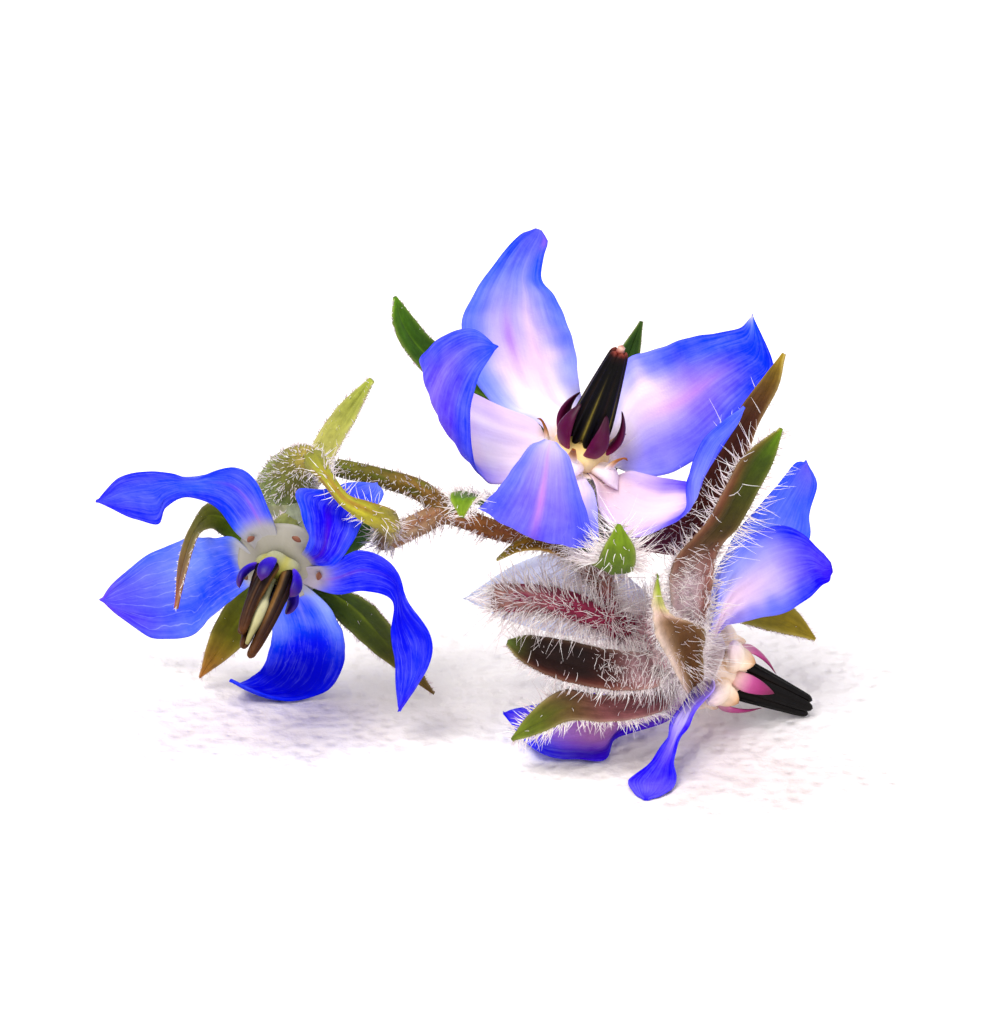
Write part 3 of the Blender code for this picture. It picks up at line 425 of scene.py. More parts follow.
# Petal colours run from root to tip: along the middle, along the rim, and on the outer face.  The root's
# colour spreads from the throat by the distance beside it.  A spot is (across -1..1, along 0..1, half width,
# half length, colour, strength).
PETAL_LOOKS = {
    "left": {
        "upper_left": {
            "root": ("#b4b2b0", 4.2),
            "middle": ((0.0, "#8f8af2"), (0.15, "#7a70f2"), (0.3, "#4a58fa"), (0.5, "#3c62fb"),
                       (1.0, "#463eee")),
            "rim": ((0.0, "#7a88f4"), (0.12, "#4a60f8"), (0.3, "#1e46fa"), (1.0, "#3430f0")),
            "outer": ((0.0, "#d0d4ea"), (0.2, "#6a7cf8"), (1.0, "#4a58ee")),
            "spots": ((0.1, 0.2, 0.12, 0.2, "#b56ae0", 0.5), (0.1, 0.85, 0.5, 0.2, "#5f7cfc", 0.45),
                      (-0.9, 0.45, 0.3, 0.12, "#2430e8", 0.6)),
            "veins": 0.25},
        "left": {
            "root": ("#b4b4b4", 4.2),
            "middle": ((0.0, "#7a84f4"), (0.2, "#2c48f8"), (0.45, "#3456fa"), (0.65, "#7286f8"),
                       (1.0, "#5a48ec")),
            "rim": ((0.0, "#7486f4"), (0.2, "#4a68f9"), (0.5, "#6f8afa"), (0.85, "#4660f6"),
                    (1.0, "#6a3cdc")),
            "outer": ((0.0, "#d0d8f2"), (0.3, "#7f92f8"), (1.0, "#5f70f2")),
            "spots": ((0.45, 0.55, 0.5, 0.3, "#96acfc", 0.6), (-0.5, 0.6, 0.4, 0.3, "#2f4ef8", 0.6),
                      (-0.75, 0.88, 0.4, 0.15, "#6a48de", 0.55)),
            "veins": 0.6},
        "resting": {
            "root": ("#b0b0b8", 3.4),
            "middle": ((0.0, "#9aa2f4"), (0.2, "#4660fc"), (0.35, "#3a60fc"), (0.5, "#0416fa"),
                       (0.75, "#0204cc"), (1.0, "#1214d4")),
            "rim": ((0.0, "#a2b0f4"), (0.25, "#86a0fc"), (0.45, "#3c5cfc"), (0.7, "#0c14e2"),
                    (1.0, "#3048ee")),
            "outer": ((0.0, "#c9d0f0"), (0.5, "#4a5cf2"), (1.0, "#2a34e6")),
            "spots": ((-0.75, 0.3, 0.25, 0.25, "#a5bafc", 0.55), (0.6, 0.3, 0.2, 0.2, "#7e98fc", 0.5),
                      (0.0, 0.22, 0.1, 0.2, "#a8a0f6", 0.5)),
            "veins": 0.2},
        "hanging": {
            "root": ("#b2aab4", 3.8),
            "middle": ((0.0, "#a89cee"), (0.14, "#8478f0"), (0.22, "#4a4cf4"), (0.35, "#1220f2"),
                       (0.6, "#0206e4"), (0.85, "#1c2ce8"), (1.0, "#4030ea")),
            "rim": ((0.0, "#8f88f0"), (0.15, "#5a60f4"), (0.35, "#0c1cf0"), (0.8, "#1024ea"),
                    (1.0, "#5240e4")),
            "outer": ((0.0, "#c9c8f0"), (0.4, "#4a5af2"), (1.0, "#3a40e6")),
            "spots": ((0.1, 0.22, 0.12, 0.22, "#8f4fdc", 0.55), (0.0, 0.75, 0.35, 0.12, "#2c48f6", 0.5)),
            "veins": 0.3},
        "upper_right": {
            "root": ("#a8a2b8", 2.8),
            "middle": ((0.0, "#5a48e8"), (0.15, "#3c2ce8"), (0.4, "#2010dc"), (0.75, "#2c3cf2"),
                       (1.0, "#5c70f8")),
            "rim": ((0.0, "#5a60ea"), (0.2, "#2c40f6"), (0.6, "#2c48fa"), (1.0, "#6078f9")),
            "outer": ((0.0, "#cfd0ee"), (0.4, "#6074f4"), (1.0, "#6a80f6")),
            "spots": ((0.0, 0.35, 0.14, 0.3, "#6a22c4", 0.65), (-0.7, 0.3, 0.3, 0.3, "#5878fb", 0.5)),
            "veins": 0.25},
    },
    "centre": {
        # The darker creamy-pink roots of the back, left and front_right petals are partly their own colour
        # and partly painted shade in the throat.
        "back": {
            "root": ("#f0d8cc", 3.8),
            "middle": ((0.0, "#fffdf6"), (0.28, "#fffaff"), (0.45, "#ecd4fa"), (0.65, "#b8acf6"),
                       (0.82, "#7480f4"), (1.0, "#4c50e6")),
            "rim": ((0.0, "#fff4fc"), (0.2, "#dcd2fc"), (0.4, "#949efc"), (0.65, "#6478fa"),
                    (0.9, "#2c50ee"), (1.0, "#3c44e4")),
            "outer": ((0.0, "#f6f0fa"), (0.5, "#a8b0f8"), (1.0, "#5a6cf2")),
            "spots": ((0.25, 0.45, 0.12, 0.3, "#fbd8ea", 0.7), (-0.15, 0.55, 0.1, 0.1, "#b06ad2", 0.5),
                      (0.8, 0.96, 0.25, 0.03, "#c070c0", 0.5), (-0.9, 0.5, 0.3, 0.2, "#6a86fb", 0.6)),
            "veins": 0.1},
        "left": {
            "root": ("#ecd8d4", 3.4),
            "middle": ((0.0, "#f9eef0"), (0.2, "#f8e2ea"), (0.34, "#f8eaf4"), (0.46, "#eccee0"),
                       (0.6, "#8a74ec"), (1.0, "#4a4cf2")),
            "rim": ((0.0, "#f4e4f0"), (0.25, "#ead0ea"), (0.42, "#b49cf0"), (0.6, "#3c50f4"),
                    (1.0, "#3858f6")),
            "outer": ((0.0, "#e0d0ec"), (0.3, "#8078f0"), (0.55, "#6c50e6"), (0.8, "#5c52ee"),
                      (1.0, "#3450f4")),
            "spots": ((0.2, 0.6, 0.2, 0.3, "#a48cf2", 0.5), (-0.8, 0.75, 0.25, 0.3, "#4154f2", 0.7)),
            "veins": 0.15},
        "front": {
            "root": ("#f4e8ec", 3.0),
            "middle": ((0.0, "#f4e0ec"), (0.25, "#dfc4ee"), (0.45, "#a8a0f8"), (1.0, "#6a6cf4")),
            "rim": ((0.0, "#efdcee"), (0.3, "#a9a4f8"), (0.6, "#545ef6"), (0.85, "#7c80f8"),
                    (1.0, "#a8a8fb")),
            "outer": ((0.0, "#dcd0f2"), (0.34, "#a8a8fa"), (0.48, "#6c68f4"), (0.7, "#7c6ef2"),
                      (0.88, "#9c8ef4"), (1.0, "#c0b4fa")),
            "spots": ((0.0, 0.52, 0.14, 0.12, "#5a48e0", 0.7), (0.05, 0.72, 0.09, 0.22, "#d68fdc", 0.75),
                      (-0.85, 0.75, 0.25, 0.3, "#4a5cf6", 0.5), (0.85, 0.8, 0.25, 0.3, "#5064f6", 0.5)),
            "veins": 0.1},
        "front_right": {
            "root": ("#dcc2c4", 3.6),
            "middle": ((0.0, "#dcc0c8"), (0.25, "#e4c8d6"), (0.45, "#dcc0ee"), (0.6, "#8078f4"),
                       (1.0, "#4c64f6")),
            "rim": ((0.0, "#f2dce6"), (0.3, "#d6bcee"), (0.5, "#4a40ec"), (0.8, "#2c3cee"),
                    (1.0, "#4a64f6")),
            "outer": ((0.0, "#e2d4ee"), (0.4, "#8c90f8"), (0.6, "#8890fa"), (1.0, "#5068f6")),
            "spots": ((0.0, 0.38, 0.5, 0.1, "#fbeef8", 0.5), (-0.8, 0.5, 0.25, 0.2, "#4a30e0", 0.6)),
            "veins": 0.1},
        "right": {
            "root": ("#fffcf8", 3.6),
            "middle": ((0.0, "#fffefb"), (0.2, "#fdf0fc"), (0.4, "#f4dafc"), (0.55, "#9c7cf0"),
                       (0.7, "#6058f0"), (0.84, "#1438f2"), (1.0, "#2048f2")),
            "rim": ((0.0, "#fdf6fc"), (0.18, "#cfc8fc"), (0.4, "#7078f8"), (0.65, "#3048f4"),
                    (0.86, "#082cee"), (1.0, "#1438f0")),
            "outer": ((0.0, "#efe6fa"), (0.5, "#9098f8"), (1.0, "#8492f8")),
            "spots": ((0.0, 0.5, 0.12, 0.16, "#ec9cd4", 0.5), (-0.65, 0.68, 0.3, 0.2, "#3458f8", 0.6),
                      (0.9, 0.76, 0.35, 0.14, "#0428ee", 0.7), (0.6, 0.44, 0.5, 0.25, "#6860f4", 0.85),
                      (-0.8, 1.0, 0.75, 0.09, "#cac4f8", 0.95)),
            "veins": 0.1},
    },
    "right": {
        "near": {
            "root": ("#f6e6ee", 2.5),
            "middle": ((0.0, "#f6e6ee"), (0.2, "#f4def2"), (0.5, "#eed6fb"), (0.7, "#beb0f8"),
                       (0.87, "#4c40ee"), (1.0, "#3208dc")),
            "rim": ((0.0, "#eedef4"), (0.22, "#b8aefa"), (0.6, "#7484f8"), (0.84, "#2c34ee"),
                    (1.0, "#2c06d4")),
            "outer": ((0.0, "#e2d4ee"), (0.5, "#9098f8"), (1.0, "#5a50ee")),
            "spots": ((0.1, 0.42, 0.25, 0.22, "#fbdcf6", 0.7), (-0.55, 0.5, 0.35, 0.25, "#8496fc", 0.6),
                      (0.85, 0.3, 0.3, 0.25, "#a284f2", 0.5)),
            "veins": 0.1},
        "far": {
            "root": ("#f2e8f4", 2.5),
            "middle": ((0.0, "#efe4f4"), (0.25, "#e4e0fa"), (0.5, "#a0acfc"), (0.8, "#5876f8"),
                       (1.0, "#7064ec")),
            "rim": ((0.0, "#e6def6"), (0.3, "#bcc4fc"), (0.6, "#6484fa"), (1.0, "#3850f0")),
            "outer": ((0.0, "#e2daf4"), (0.5, "#94a4fa"), (1.0, "#6a84f8")),
            "spots": ((-0.5, 0.35, 0.4, 0.25, "#e9e8fc", 0.6), (0.7, 0.7, 0.3, 0.25, "#4a6cfa", 0.5)),
            "veins": 0.1},
        "twisted": {
            "root": ("#f0e0ee", 2.2),
            "middle": ((0.0, "#e6d2ee"), (0.2, "#a088f0"), (0.4, "#c8bafa"), (0.58, "#7c64f6"),
                       (0.75, "#3c28f0"), (0.88, "#6c5cf6"), (1.0, "#4030f0")),
            "rim": ((0.0, "#d8c4ee"), (0.2, "#9c84ec"), (0.36, "#5c44ec"), (0.5, "#2c0cea"),
                    (0.75, "#2410e4"), (0.88, "#5c4cf4"), (1.0, "#584ef2")),
            "outer": ((0.0, "#d8c8ee"), (0.4, "#6a5cf4"), (1.0, "#3c2cee")),
            "spots": ((-0.2, 0.45, 0.4, 0.15, "#cdc4fc", 0.6), (0.6, 0.75, 0.3, 0.2, "#2a18ee", 0.6)),
            "veins": 0.1},
        "under": {
            "root": ("#f0e0ea", 2.2),
            "middle": ((0.0, "#ecd8ec"), (0.25, "#e8bce0"), (0.6, "#dc98de"), (1.0, "#4a3cee")),
            "rim": ((0.0, "#e2cfea"), (0.25, "#cca4e2"), (0.6, "#8a5cdc"), (1.0, "#2024ec")),
            "outer": ((0.0, "#e2cfea"), (0.5, "#8f7ce8"), (1.0, "#3a2ce6")),
            "spots": ((-0.95, 0.5, 0.42, 0.3, "#3404d6", 0.95), (-0.85, 0.85, 0.5, 0.14, "#2a2af0", 0.8),
                      (0.2, 0.45, 0.3, 0.2, "#d7a4dc", 0.5)),
            "veins": 0.15},
        # The reflexed petal's near-white tints are its own pale colour, lightened further as painted light
        # against the shade of the bristles in front of it.
        "reflexed": {
            "root": ("#f8f4fa", 2.0),
            "middle": ((0.0, "#fbf8fc"), (0.4, "#f4f2fe"), (1.0, "#eceffe")),
            "rim": ((0.0, "#f8f4fc"), (0.5, "#e6eafe"), (1.0, "#dfe6fe")),
            "outer": ((0.0, "#f8f4fc"), (0.5, "#eef0fe"), (1.0, "#e6ecfe")),
            "spots": ((0.4, 0.6, 0.4, 0.3, "#d4dcfc", 0.5),),
            "veins": 0.1},
    },
}

# Sepals: inner and outer faces from root to tip, and spots as above.
SEPAL_LOOKS = {
    "left": {
        "s1": {"inner": ((0.0, "#8fa03c"), (0.3, "#7a9414"), (0.52, "#6c6c30"), (0.8, "#7c5c40"),
                         (1.0, "#b0603c")),
               "outer": ((0.0, "#9aa86a"), (0.5, "#74683c"), (1.0, "#9c5c38")),
               "spots": ((0.0, 0.3, 0.14, 0.2, "#b9cc5a", 0.6),)},
        "s2": {"inner": ((0.0, "#6e8a1c"), (0.35, "#5c7404"), (0.75, "#747010"), (1.0, "#b0783c")),
               "outer": ((0.0, "#8a9a4c"), (0.6, "#80763a"), (1.0, "#a8744a")),
               "spots": ((0.0, 0.4, 0.12, 0.3, "#a9b83c", 0.5),)},
        "s3": {"inner": ((0.0, "#5f7a14"), (0.3, "#4c6406"), (0.7, "#4a5408"), (0.88, "#6c5a20"),
                         (1.0, "#7c6238")),
               "outer": ((0.0, "#7c8c3c"), (0.7, "#5c5a24"), (1.0, "#7c6238")),
               "spots": ((0.05, 0.35, 0.09, 0.3, "#a8b838", 0.75),)},
        "s4": {"inner": ((0.0, "#8fa05c"), (0.6, "#4f7a30"), (1.0, "#5c7a44")),
               "outer": ((0.0, "#8fa05c"), (1.0, "#5c7a44")), "spots": ()},
        "s5": {"inner": ((0.0, "#7f8c4c"), (0.3, "#cdb498"), (0.5, "#b9b070"), (1.0, "#a3ac4c")),
               "outer": ((0.0, "#7f8c4c"), (0.5, "#b5a878"), (1.0, "#9aa250")), "spots": ()},
    },
    "centre": {
        "s1": {"inner": ((0.0, "#6c7a30"), (0.6, "#284a04"), (1.0, "#3c5810")),
               "outer": ((0.0, "#6c7a30"), (1.0, "#3c5a0c")),
               "spots": ((0.0, 0.7, 0.12, 0.3, "#6c8c2c", 0.5),)},
        "s2": {"inner": ((0.0, "#7c9040"), (0.4, "#4c6a08"), (0.8, "#3c5e02"), (1.0, "#5c880c")),
               "outer": ((0.0, "#8a9a5c"), (1.0, "#6a8434")),
               "spots": ((0.0, 0.65, 0.1, 0.3, "#7fa030", 0.6),)},
        "s3": {"inner": ((0.0, "#4c5c30"), (0.4, "#384c18"), (0.72, "#5c7414"), (0.88, "#6c8c14"),
                         (1.0, "#849c24")),
               "outer": ((0.0, "#7c8c64"), (0.6, "#485c20"), (1.0, "#547c10")), "spots": ()},
        "s4": {"inner": ((0.0, "#7c8444"), (0.5, "#506414"), (1.0, "#5c880c")),
               "outer": ((0.0, "#8c8c64"), (0.45, "#545c1c"), (0.7, "#5c7210"), (1.0, "#809828")),
               "spots": ()},
        "s5": {"inner": ((0.0, "#7d3854"), (0.33, "#74344e"), (0.5, "#48180a"), (0.75, "#461c04"),
                         (0.92, "#6c5410"), (1.0, "#a8902c")),
               "outer": ((0.0, "#7d3854"), (0.35, "#74344e"), (0.6, "#5c301c"), (1.0, "#8c7424")),
               "spots": ()},
    },
    "right": {
        "a": {"inner": ((0.0, "#d4c0c4"), (0.4, "#d0bcc4"), (0.5, "#7c5c50"), (0.62, "#4c4010"),
                        (0.88, "#485a04"), (1.0, "#70900c")),
              "outer": ((0.0, "#b08a84"), (0.5, "#94685c"), (1.0, "#7c8430")),
              "spots": ((-0.9, 0.72, 0.5, 0.26, "#7c4834", 0.95), (0.9, 0.34, 0.4, 0.2, "#8a5448", 0.95))},
        # Sepal b's brown inner face towards its root is partly its own colour and partly painted shade of
        # its curled-over inner side.
        "b": {"inner": ((0.0, "#84643c"), (0.5, "#64441c"), (0.66, "#7c5a34"), (0.76, "#dcc0b0"),
                        (0.86, "#cccc88"), (0.94, "#a4b83c"), (1.0, "#98c020")),
              "outer": ((0.0, "#b89c88"), (0.7, "#e0cabc"), (1.0, "#b4c84c")),
              "spots": ((-1.0, 0.45, 0.55, 0.45, "#ecd8d0", 0.95), (0.4, 0.3, 0.4, 0.2, "#6c4410", 0.6))},
        "c": {"inner": ((0.0, "#bca0a0"), (0.34, "#ac8c90"), (0.48, "#4c2824"), (0.6, "#280e06"),
                        (0.85, "#2c1408"), (0.94, "#4c5020"), (1.0, "#6c7c3c")),
              "outer": ((0.0, "#5c3c34"), (0.4, "#200a04"), (0.7, "#281808"), (1.0, "#5c6a34")),
              "spots": ((-0.9, 0.6, 0.3, 0.4, "#7c3428", 0.5),)},
        "d": {"inner": ((0.0, "#b0848c"), (0.3, "#a06c70"), (0.55, "#885858"), (0.72, "#64502c"),
                        (0.86, "#646c1c"), (1.0, "#78882c")),
              "outer": ((0.0, "#a88480"), (0.5, "#7c5448"), (0.8, "#5c5c24"), (1.0, "#748424")),
              "spots": ((0.9, 0.55, 0.25, 0.25, "#b08078", 0.6), (0.0, 0.85, 0.3, 0.12, "#5c6418", 0.6))},
        "e": {"inner": ((0.0, "#d4bcbc"), (0.3, "#b8a48c"), (0.5, "#7c7424"), (1.0, "#a08c28")),
              "outer": ((0.0, "#d4bcbc"), (0.35, "#b8a48c"), (0.6, "#746c20"), (1.0, "#a08c28")),
              "spots": ()},
    },
}

# Along a bloom's axis: (height, distance out) from the back of the dish, round its rim, to its middle.
NARROW_DISH = ((-0.35, 0.0), (-0.33, 1.2), (-0.12, 1.9), (0.02, 2.25), (0.08, 2.1), (0.1, 1.0), (0.1, 0.0))
DISH_PROFILE = {
    "left": ((-0.55, 0.0), (-0.55, 1.6), (-0.5, 2.5), (-0.35, 2.9), (-0.2, 2.65), (0.08, 1.8), (0.24, 1.1),
             (0.26, 0.0)),
    "centre": NARROW_DISH,
    "right": NARROW_DISH,
}
# Petals start over the throat's middle, this share of the way out to their drawn roots.
THROAT_HEIGHT = 0.15
THROAT_SHARE = 0.3
# The root's colour is full out to this share of its distance.
ROOT_FULL = 0.62
DISH_LOBE = 0.04
# Swellings, scales and horns: height, distance out and radius; the ends run out to nothing.
SWELLING_PROFILE = {
    "centre": ((0.1, 1.0, 0.0), (0.2, 1.2, 0.6), (0.5, 1.8, 0.9), (0.45, 2.4, 0.85), (0.15, 2.9, 0.55),
               (-0.1, 3.4, 0.0)),
    "right": ((0.1, 0.9, 0.0), (0.3, 1.1, 0.6), (0.9, 1.6, 0.95), (0.9, 2.2, 0.95), (0.3, 2.9, 0.6),
              (0.0, 3.3, 0.0)),
}
SCALE_PROFILE = {
    "left": ((0.26, 2.35, 0.0), (0.32, 2.4, 0.18), (0.36, 2.5, 0.32), (0.36, 2.62, 0.26), (0.32, 2.7, 0.12),
             (0.28, 2.74, 0.0)),
    "centre": ((0.4, 2.1, 0.0), (0.5, 2.15, 0.5), (1.0, 2.3, 0.42), (1.5, 2.55, 0.24), (1.9, 2.9, 0.15),
               (2.0, 3.1, 0.12), (1.95, 3.3, 0.0)),
    "right": ((0.3, 1.9, 0.0), (0.4, 2.0, 0.6), (1.1, 2.1, 0.85), (1.7, 2.2, 0.72), (2.1, 2.3, 0.36),
              (2.3, 2.35, 0.0)),
}
HORN_PROFILE = {
    "left": ((0.6, 1.3, 0.0), (0.8, 1.4, 0.3), (1.3, 1.75, 0.46), (1.9, 1.95, 0.5), (2.45, 1.9, 0.36),
             (2.8, 1.75, 0.0)),
    "centre": ((1.0, 1.2, 0.0), (1.1, 1.35, 0.42), (1.6, 1.75, 0.6), (2.3, 2.0, 0.64), (3.0, 1.98, 0.5),
               (3.6, 1.8, 0.3), (4.1, 1.55, 0.12), (4.2, 1.48, 0.0)),
    "right": ((1.4, 1.4, 0.0), (1.5, 1.75, 0.45), (2.1, 2.1, 0.58), (2.9, 2.0, 0.5), (3.7, 1.7, 0.32),
              (4.4, 1.3, 0.1), (4.6, 1.2, 0.0)),
}
SCALE_FLATNESS = 0.45
HORN_FLATNESS = {"left": 0.5, "centre": 0.4, "right": 0.3}
SWELLING_FLATNESS = {"centre": 0.5, "right": 0.6}
FILAMENT_PROFILES = {
    "left": ((0.1, 0.0), (0.1, 1.2), (0.45, 1.4), (0.8, 1.3), (1.1, 0.95), (1.3, 0.6), (1.35, 0.0)),
    "centre": ((0.1, 0.0), (0.1, 1.4), (0.6, 1.75), (1.2, 1.65), (1.7, 1.2), (1.9, 0.9), (1.95, 0.0)),
    "right": ((0.1, 0.0), (0.1, 1.4), (0.8, 1.7), (1.5, 1.7), (2.1, 1.4), (2.5, 1.0), (2.6, 0.0)),
}
# Lobes of the filament bases, and how strongly the furrows between them are tinted.
FILAMENT_LOBE = 0.08
FURROW_STRENGTH = 0.6
ANTHER_FOOT = {"left": 0.7, "centre": 1.65, "right": 1.3}
# Shares of an anther's length where its rounded foot ends and its rounded tip starts.
ANTHER_ENDS = (0.06, 0.93)
# Furrow between the sacs, how far the sacs hang below the foot, the depth of the wall as a share of its
# distance out, and the share of a half wave that a leaning anther follows.
ANTHER_FURROW = 0.42
ANTHER_FURROW_WIDTH = 0.3
SAC_DROP = 0.6
ANTHER_DEPTH = 0.36
ANTHER_SWING = 0.7
# Along an anther: how far its outer face stands from the axis, and its half width.
ANTHER_OUTER = ((0.0, 1.22), (0.08, 1.42), (0.25, 1.36), (0.5, 1.12), (0.75, 0.86), (1.0, 0.6))
ANTHER_WIDTH = {
    "left": ((0.0, 0.4), (0.08, 0.52), (0.3, 0.5), (0.6, 0.42), (0.85, 0.36), (1.0, 0.24)),
    "centre": ((0.0, 0.58), (0.08, 0.76), (0.3, 0.72), (0.6, 0.58), (0.85, 0.42), (1.0, 0.28)),
    "right": ((0.0, 0.42), (0.08, 0.6), (0.3, 0.6), (0.6, 0.5), (0.85, 0.38), (1.0, 0.24)),
}
# Style: height, and radius there; the last is the stigma.
STYLE_PROFILE = {
    "left": ((0.8, 0.16), (2.6, 0.2), (3.4, 0.42), (4.4, 0.42), (5.6, 0.22), (6.4, 0.12)),
    "centre": ((0.65, 0.16), (4.0, 0.15), (7.6, 0.24), (7.95, 0.28), (8.15, 0.2), (8.3, 0.26)),
    "right": ((0.65, 0.16), (4.0, 0.15), (6.6, 0.15), (7.3, 0.17)),
}
STYLE_TINTS = {
    "left": ((0.0, "#a8a870"), (0.5, "#b8b48c"), (1.0, "#8c8450")),
    "centre": ((0.0, "#e8d8a8"), (0.85, "#4c140e"), (0.93, "#6c2018"), (0.96, "#b87c6c"), (0.98, "#d8b0a0"),
               (1.0, "#8c3c30")),
    "right": ((0.0, "#e8d8a8"), (0.8, "#5c2c28"), (1.0, "#2c100c")),
}

# Throats: tints from the back of the dish to its middle, and of swellings and scales from the inside out.
THROAT_LOOKS = {
    "left": {"slot": "petals",
             "dish": ((0.0, "#a09a90"), (0.55, "#a4a094"), (0.8, "#989484"), (1.0, "#8c8c68")),
             "scale": ((0.0, "#b0a89c"), (0.25, "#98705c"), (0.5, "#6c3c2c"), (0.85, "#8c5c44"),
                       (1.0, "#b0a094"))},
    "centre": {"slot": "pale_petals",
               "dish": ((0.0, "#e8d0cc"), (1.0, "#eedcc8")),
               "swelling": ((0.0, "#e8c8a8"), (0.25, "#ecd4c0"), (0.5, "#f0dcdc"), (1.0, "#ecd6e4")),
               "scale": ((0.0, "#f6ecec"), (0.3, "#f2e2dc"), (0.45, "#dcb08c"), (0.6, "#b4743c"),
                         (0.9, "#8c4818"), (1.0, "#6c3410"))},
    "right": {"slot": "pale_petals",
              "dish": ((0.0, "#f2e6ea"), (1.0, "#f4e4d4")),
              "swelling": ((0.0, "#d0a478"), (0.3, "#e4c8a8"), (0.6, "#f0dcc8"), (1.0, "#ecd4dc")),
              "scale": ((0.0, "#f0dccc"), (0.5, "#f2dfc8"), (0.8, "#e4c09c"), (0.92, "#c49468"),
                        (1.0, "#946848"))},
}
# Stamens: tints from foot to tip, then each anther's length, how far it spreads and how it leans.
STAMEN_LOOKS = {
    "left": {"filament": ((0.0, "#c4c8b8"), (0.4, "#a8a888"), (0.75, "#7c7830"), (1.0, "#5c5414")),
             "furrow": "#a8a03c",
             "horn": ((0.0, "#8c60c8"), (0.15, "#4c28c8"), (0.35, "#2c10b8"), (0.7, "#20087c"),
                      (1.0, "#44125c")),
             "sac": ((0.0, "#080403"), (0.15, "#100603"), (0.4, "#1c0c04"), (0.75, "#301808"),
                     (1.0, "#4c2a0e")),
             "seam": "#8c6430", "seam_strength": 0.75, "groove": "#6c4820", "groove_strength": 0.5,
             "lengths": (6.4, 5.3, 5.2, 5.8, 6.5), "spreads": (0.1, 0.05, 0.3, 0.35, 0.2),
             "swings": (-0.35, 0.5, 0.05, 0.0, 0.1)},
    # The darker pink at the centre filaments' foot is painted shade round the horns' bases.
    "centre": {"filament": ((0.0, "#d8a8a0"), (0.3, "#e8cca8"), (0.6, "#e8cc88"), (0.82, "#c8ac38"),
                            (1.0, "#a88c28")),
               "furrow": "#d8b070",
               "horn": ((0.0, "#b84c88"), (0.15, "#841450"), (0.4, "#580434"), (0.7, "#48022c"),
                        (1.0, "#2c0218")),
               "sac": ((0.0, "#040202"), (0.88, "#030201"), (0.95, "#1c0806"), (0.98, "#5c1c14"),
                       (1.0, "#8c4438")),
               "seam": "#8c7c30", "seam_strength": 0.9, "groove": "#3c240c", "groove_strength": 0.4,
               "lengths": (6.4, 6.45, 6.35, 6.4, 6.4), "spreads": (0.0, 0.0, 0.0, 0.0, 0.0),
               "swings": (0.0, 0.0, 0.0, 0.0, 0.0)},
    "right": {"filament": ((0.0, "#f6ece4"), (0.3, "#eedccc"), (0.65, "#e6cab2"), (0.9, "#e0b898"),
                           (1.0, "#c88c5c")),
              "furrow": "#e0c0a8",
              "horn": ((0.0, "#e8ccb8"), (0.18, "#e4b4b8"), (0.38, "#b84c88"), (0.6, "#982468"),
                       (0.85, "#7c0c4c"), (1.0, "#640838")),
              "sac": ((0.0, "#060303"), (0.7, "#040202"), (1.0, "#0a0605")),
              "seam": "#1c0c06", "seam_strength": 0.5, "groove": "#140a04", "groove_strength": 0.4,
              "lengths": (6.5, 6.5, 6.1, 6.3, 6.4), "spreads": (0.0, 0.1, 0.0, 0.0, 0.1),
              "swings": (0.0, 0.1, 0.0, 0.0, -0.1)},
}
# Cups and stalks: tints along them, and soft blotches over them.
CUP_LOOKS = {
    "left": {"along": ((0.0, "#a49e9a"), (0.2, "#949882"), (0.45, "#98a078"), (0.6, "#7c8844"),
                       (0.82, "#76742c"), (1.0, "#9c8a3c")),
             "blotch": "#7c6848", "strength": 0.3},
    "centre": {"along": ((0.0, "#e0e0d0"), (0.4, "#b4b89c"), (0.7, "#a08c7c"), (1.0, "#a0747c")),
               "blotch": "#8c4c60", "strength": 0.4},
    # The right cup's pale tints are its own pink-white, lightened further as painted light against the shade
    # of its dense bristles.
    "right": {"along": ((0.0, "#f4e6e6"), (0.3, "#f0dcde"), (0.7, "#e4c4c8"), (1.0, "#c88c98")),
              "blotch": "#a04464", "strength": 0.6},
}
STALK_LOOKS = {
    "stub": {"along": ((0.0, "#8c6458"), (0.25, "#9c6868"), (0.5, "#8c2c48"), (1.0, "#7c1034")),
             "blotch": "#780c34", "strength": 0.7},
    "riser": {"along": ((0.0, "#94304c"), (0.4, "#8c6458"), (1.0, "#a89080")),
              "blotch": "#74283c", "strength": 0.4},
    "runner": {"along": ((0.0, "#845430"), (0.3, "#784820"), (0.48, "#a08468"), (0.58, "#98845c"),
                         (0.75, "#a09824"), (1.0, "#808028")),
               "blotch": "#74381c", "strength": 0.4},
    "side": {"along": ((0.0, "#745028"), (0.4, "#74581c"), (0.8, "#605c18"), (1.0, "#686420")),
             "blotch": "#4c5c10", "strength": 0.5},
}
# How far the ends of cut stalks are drawn out, in radii.
STALK_ENDS = {"stub": 0.1, "side": 0.2}
BRACT_LOOK = {"inner": ((0.0, "#8c6c3c"), (0.4, "#8a5c14"), (0.8, "#8c6c1c"), (1.0, "#9c9448")),
              "outer": ((0.0, "#8c6c3c"), (0.5, "#94682c"), (1.0, "#9c9448")), "spots": ()}

# The cup's rim: how far behind the throat, and its radius.
CALYX_RIM = 1.35
CALYX_RIM_RADIUS = 1.5
# Ribs round a cup and a stalk: how many, and their height as a share of the radius.
CUP_RIBS = (10, 0.035)
STALK_RIBS = (7, 0.05)
# A rounded end has a station this share of the way out, with this share of the radius.
SHOULDER_PLACE = 0.8
SHOULDER_RADIUS = 0.6
# Powers that deepen the tints of the petals and the leaves, to hold their colour under bright light.
PETAL_DEPTH = 1.14
LEAF_DEPTH = 1.25

# Bristle: radius at its foot, sides, cuts along it, and radius of its tip as a share.
BRISTLE_RADIUS = 0.036
BRISTLE_SIDES = 3
BRISTLE_CUTS = 2
BRISTLE_TAPER = 0.15
BRISTLE_WHITE = "#fffdfa"
BRISTLE_SHADE = "#c8acb0"
BRISTLE_SHADE_MOST = 0.65
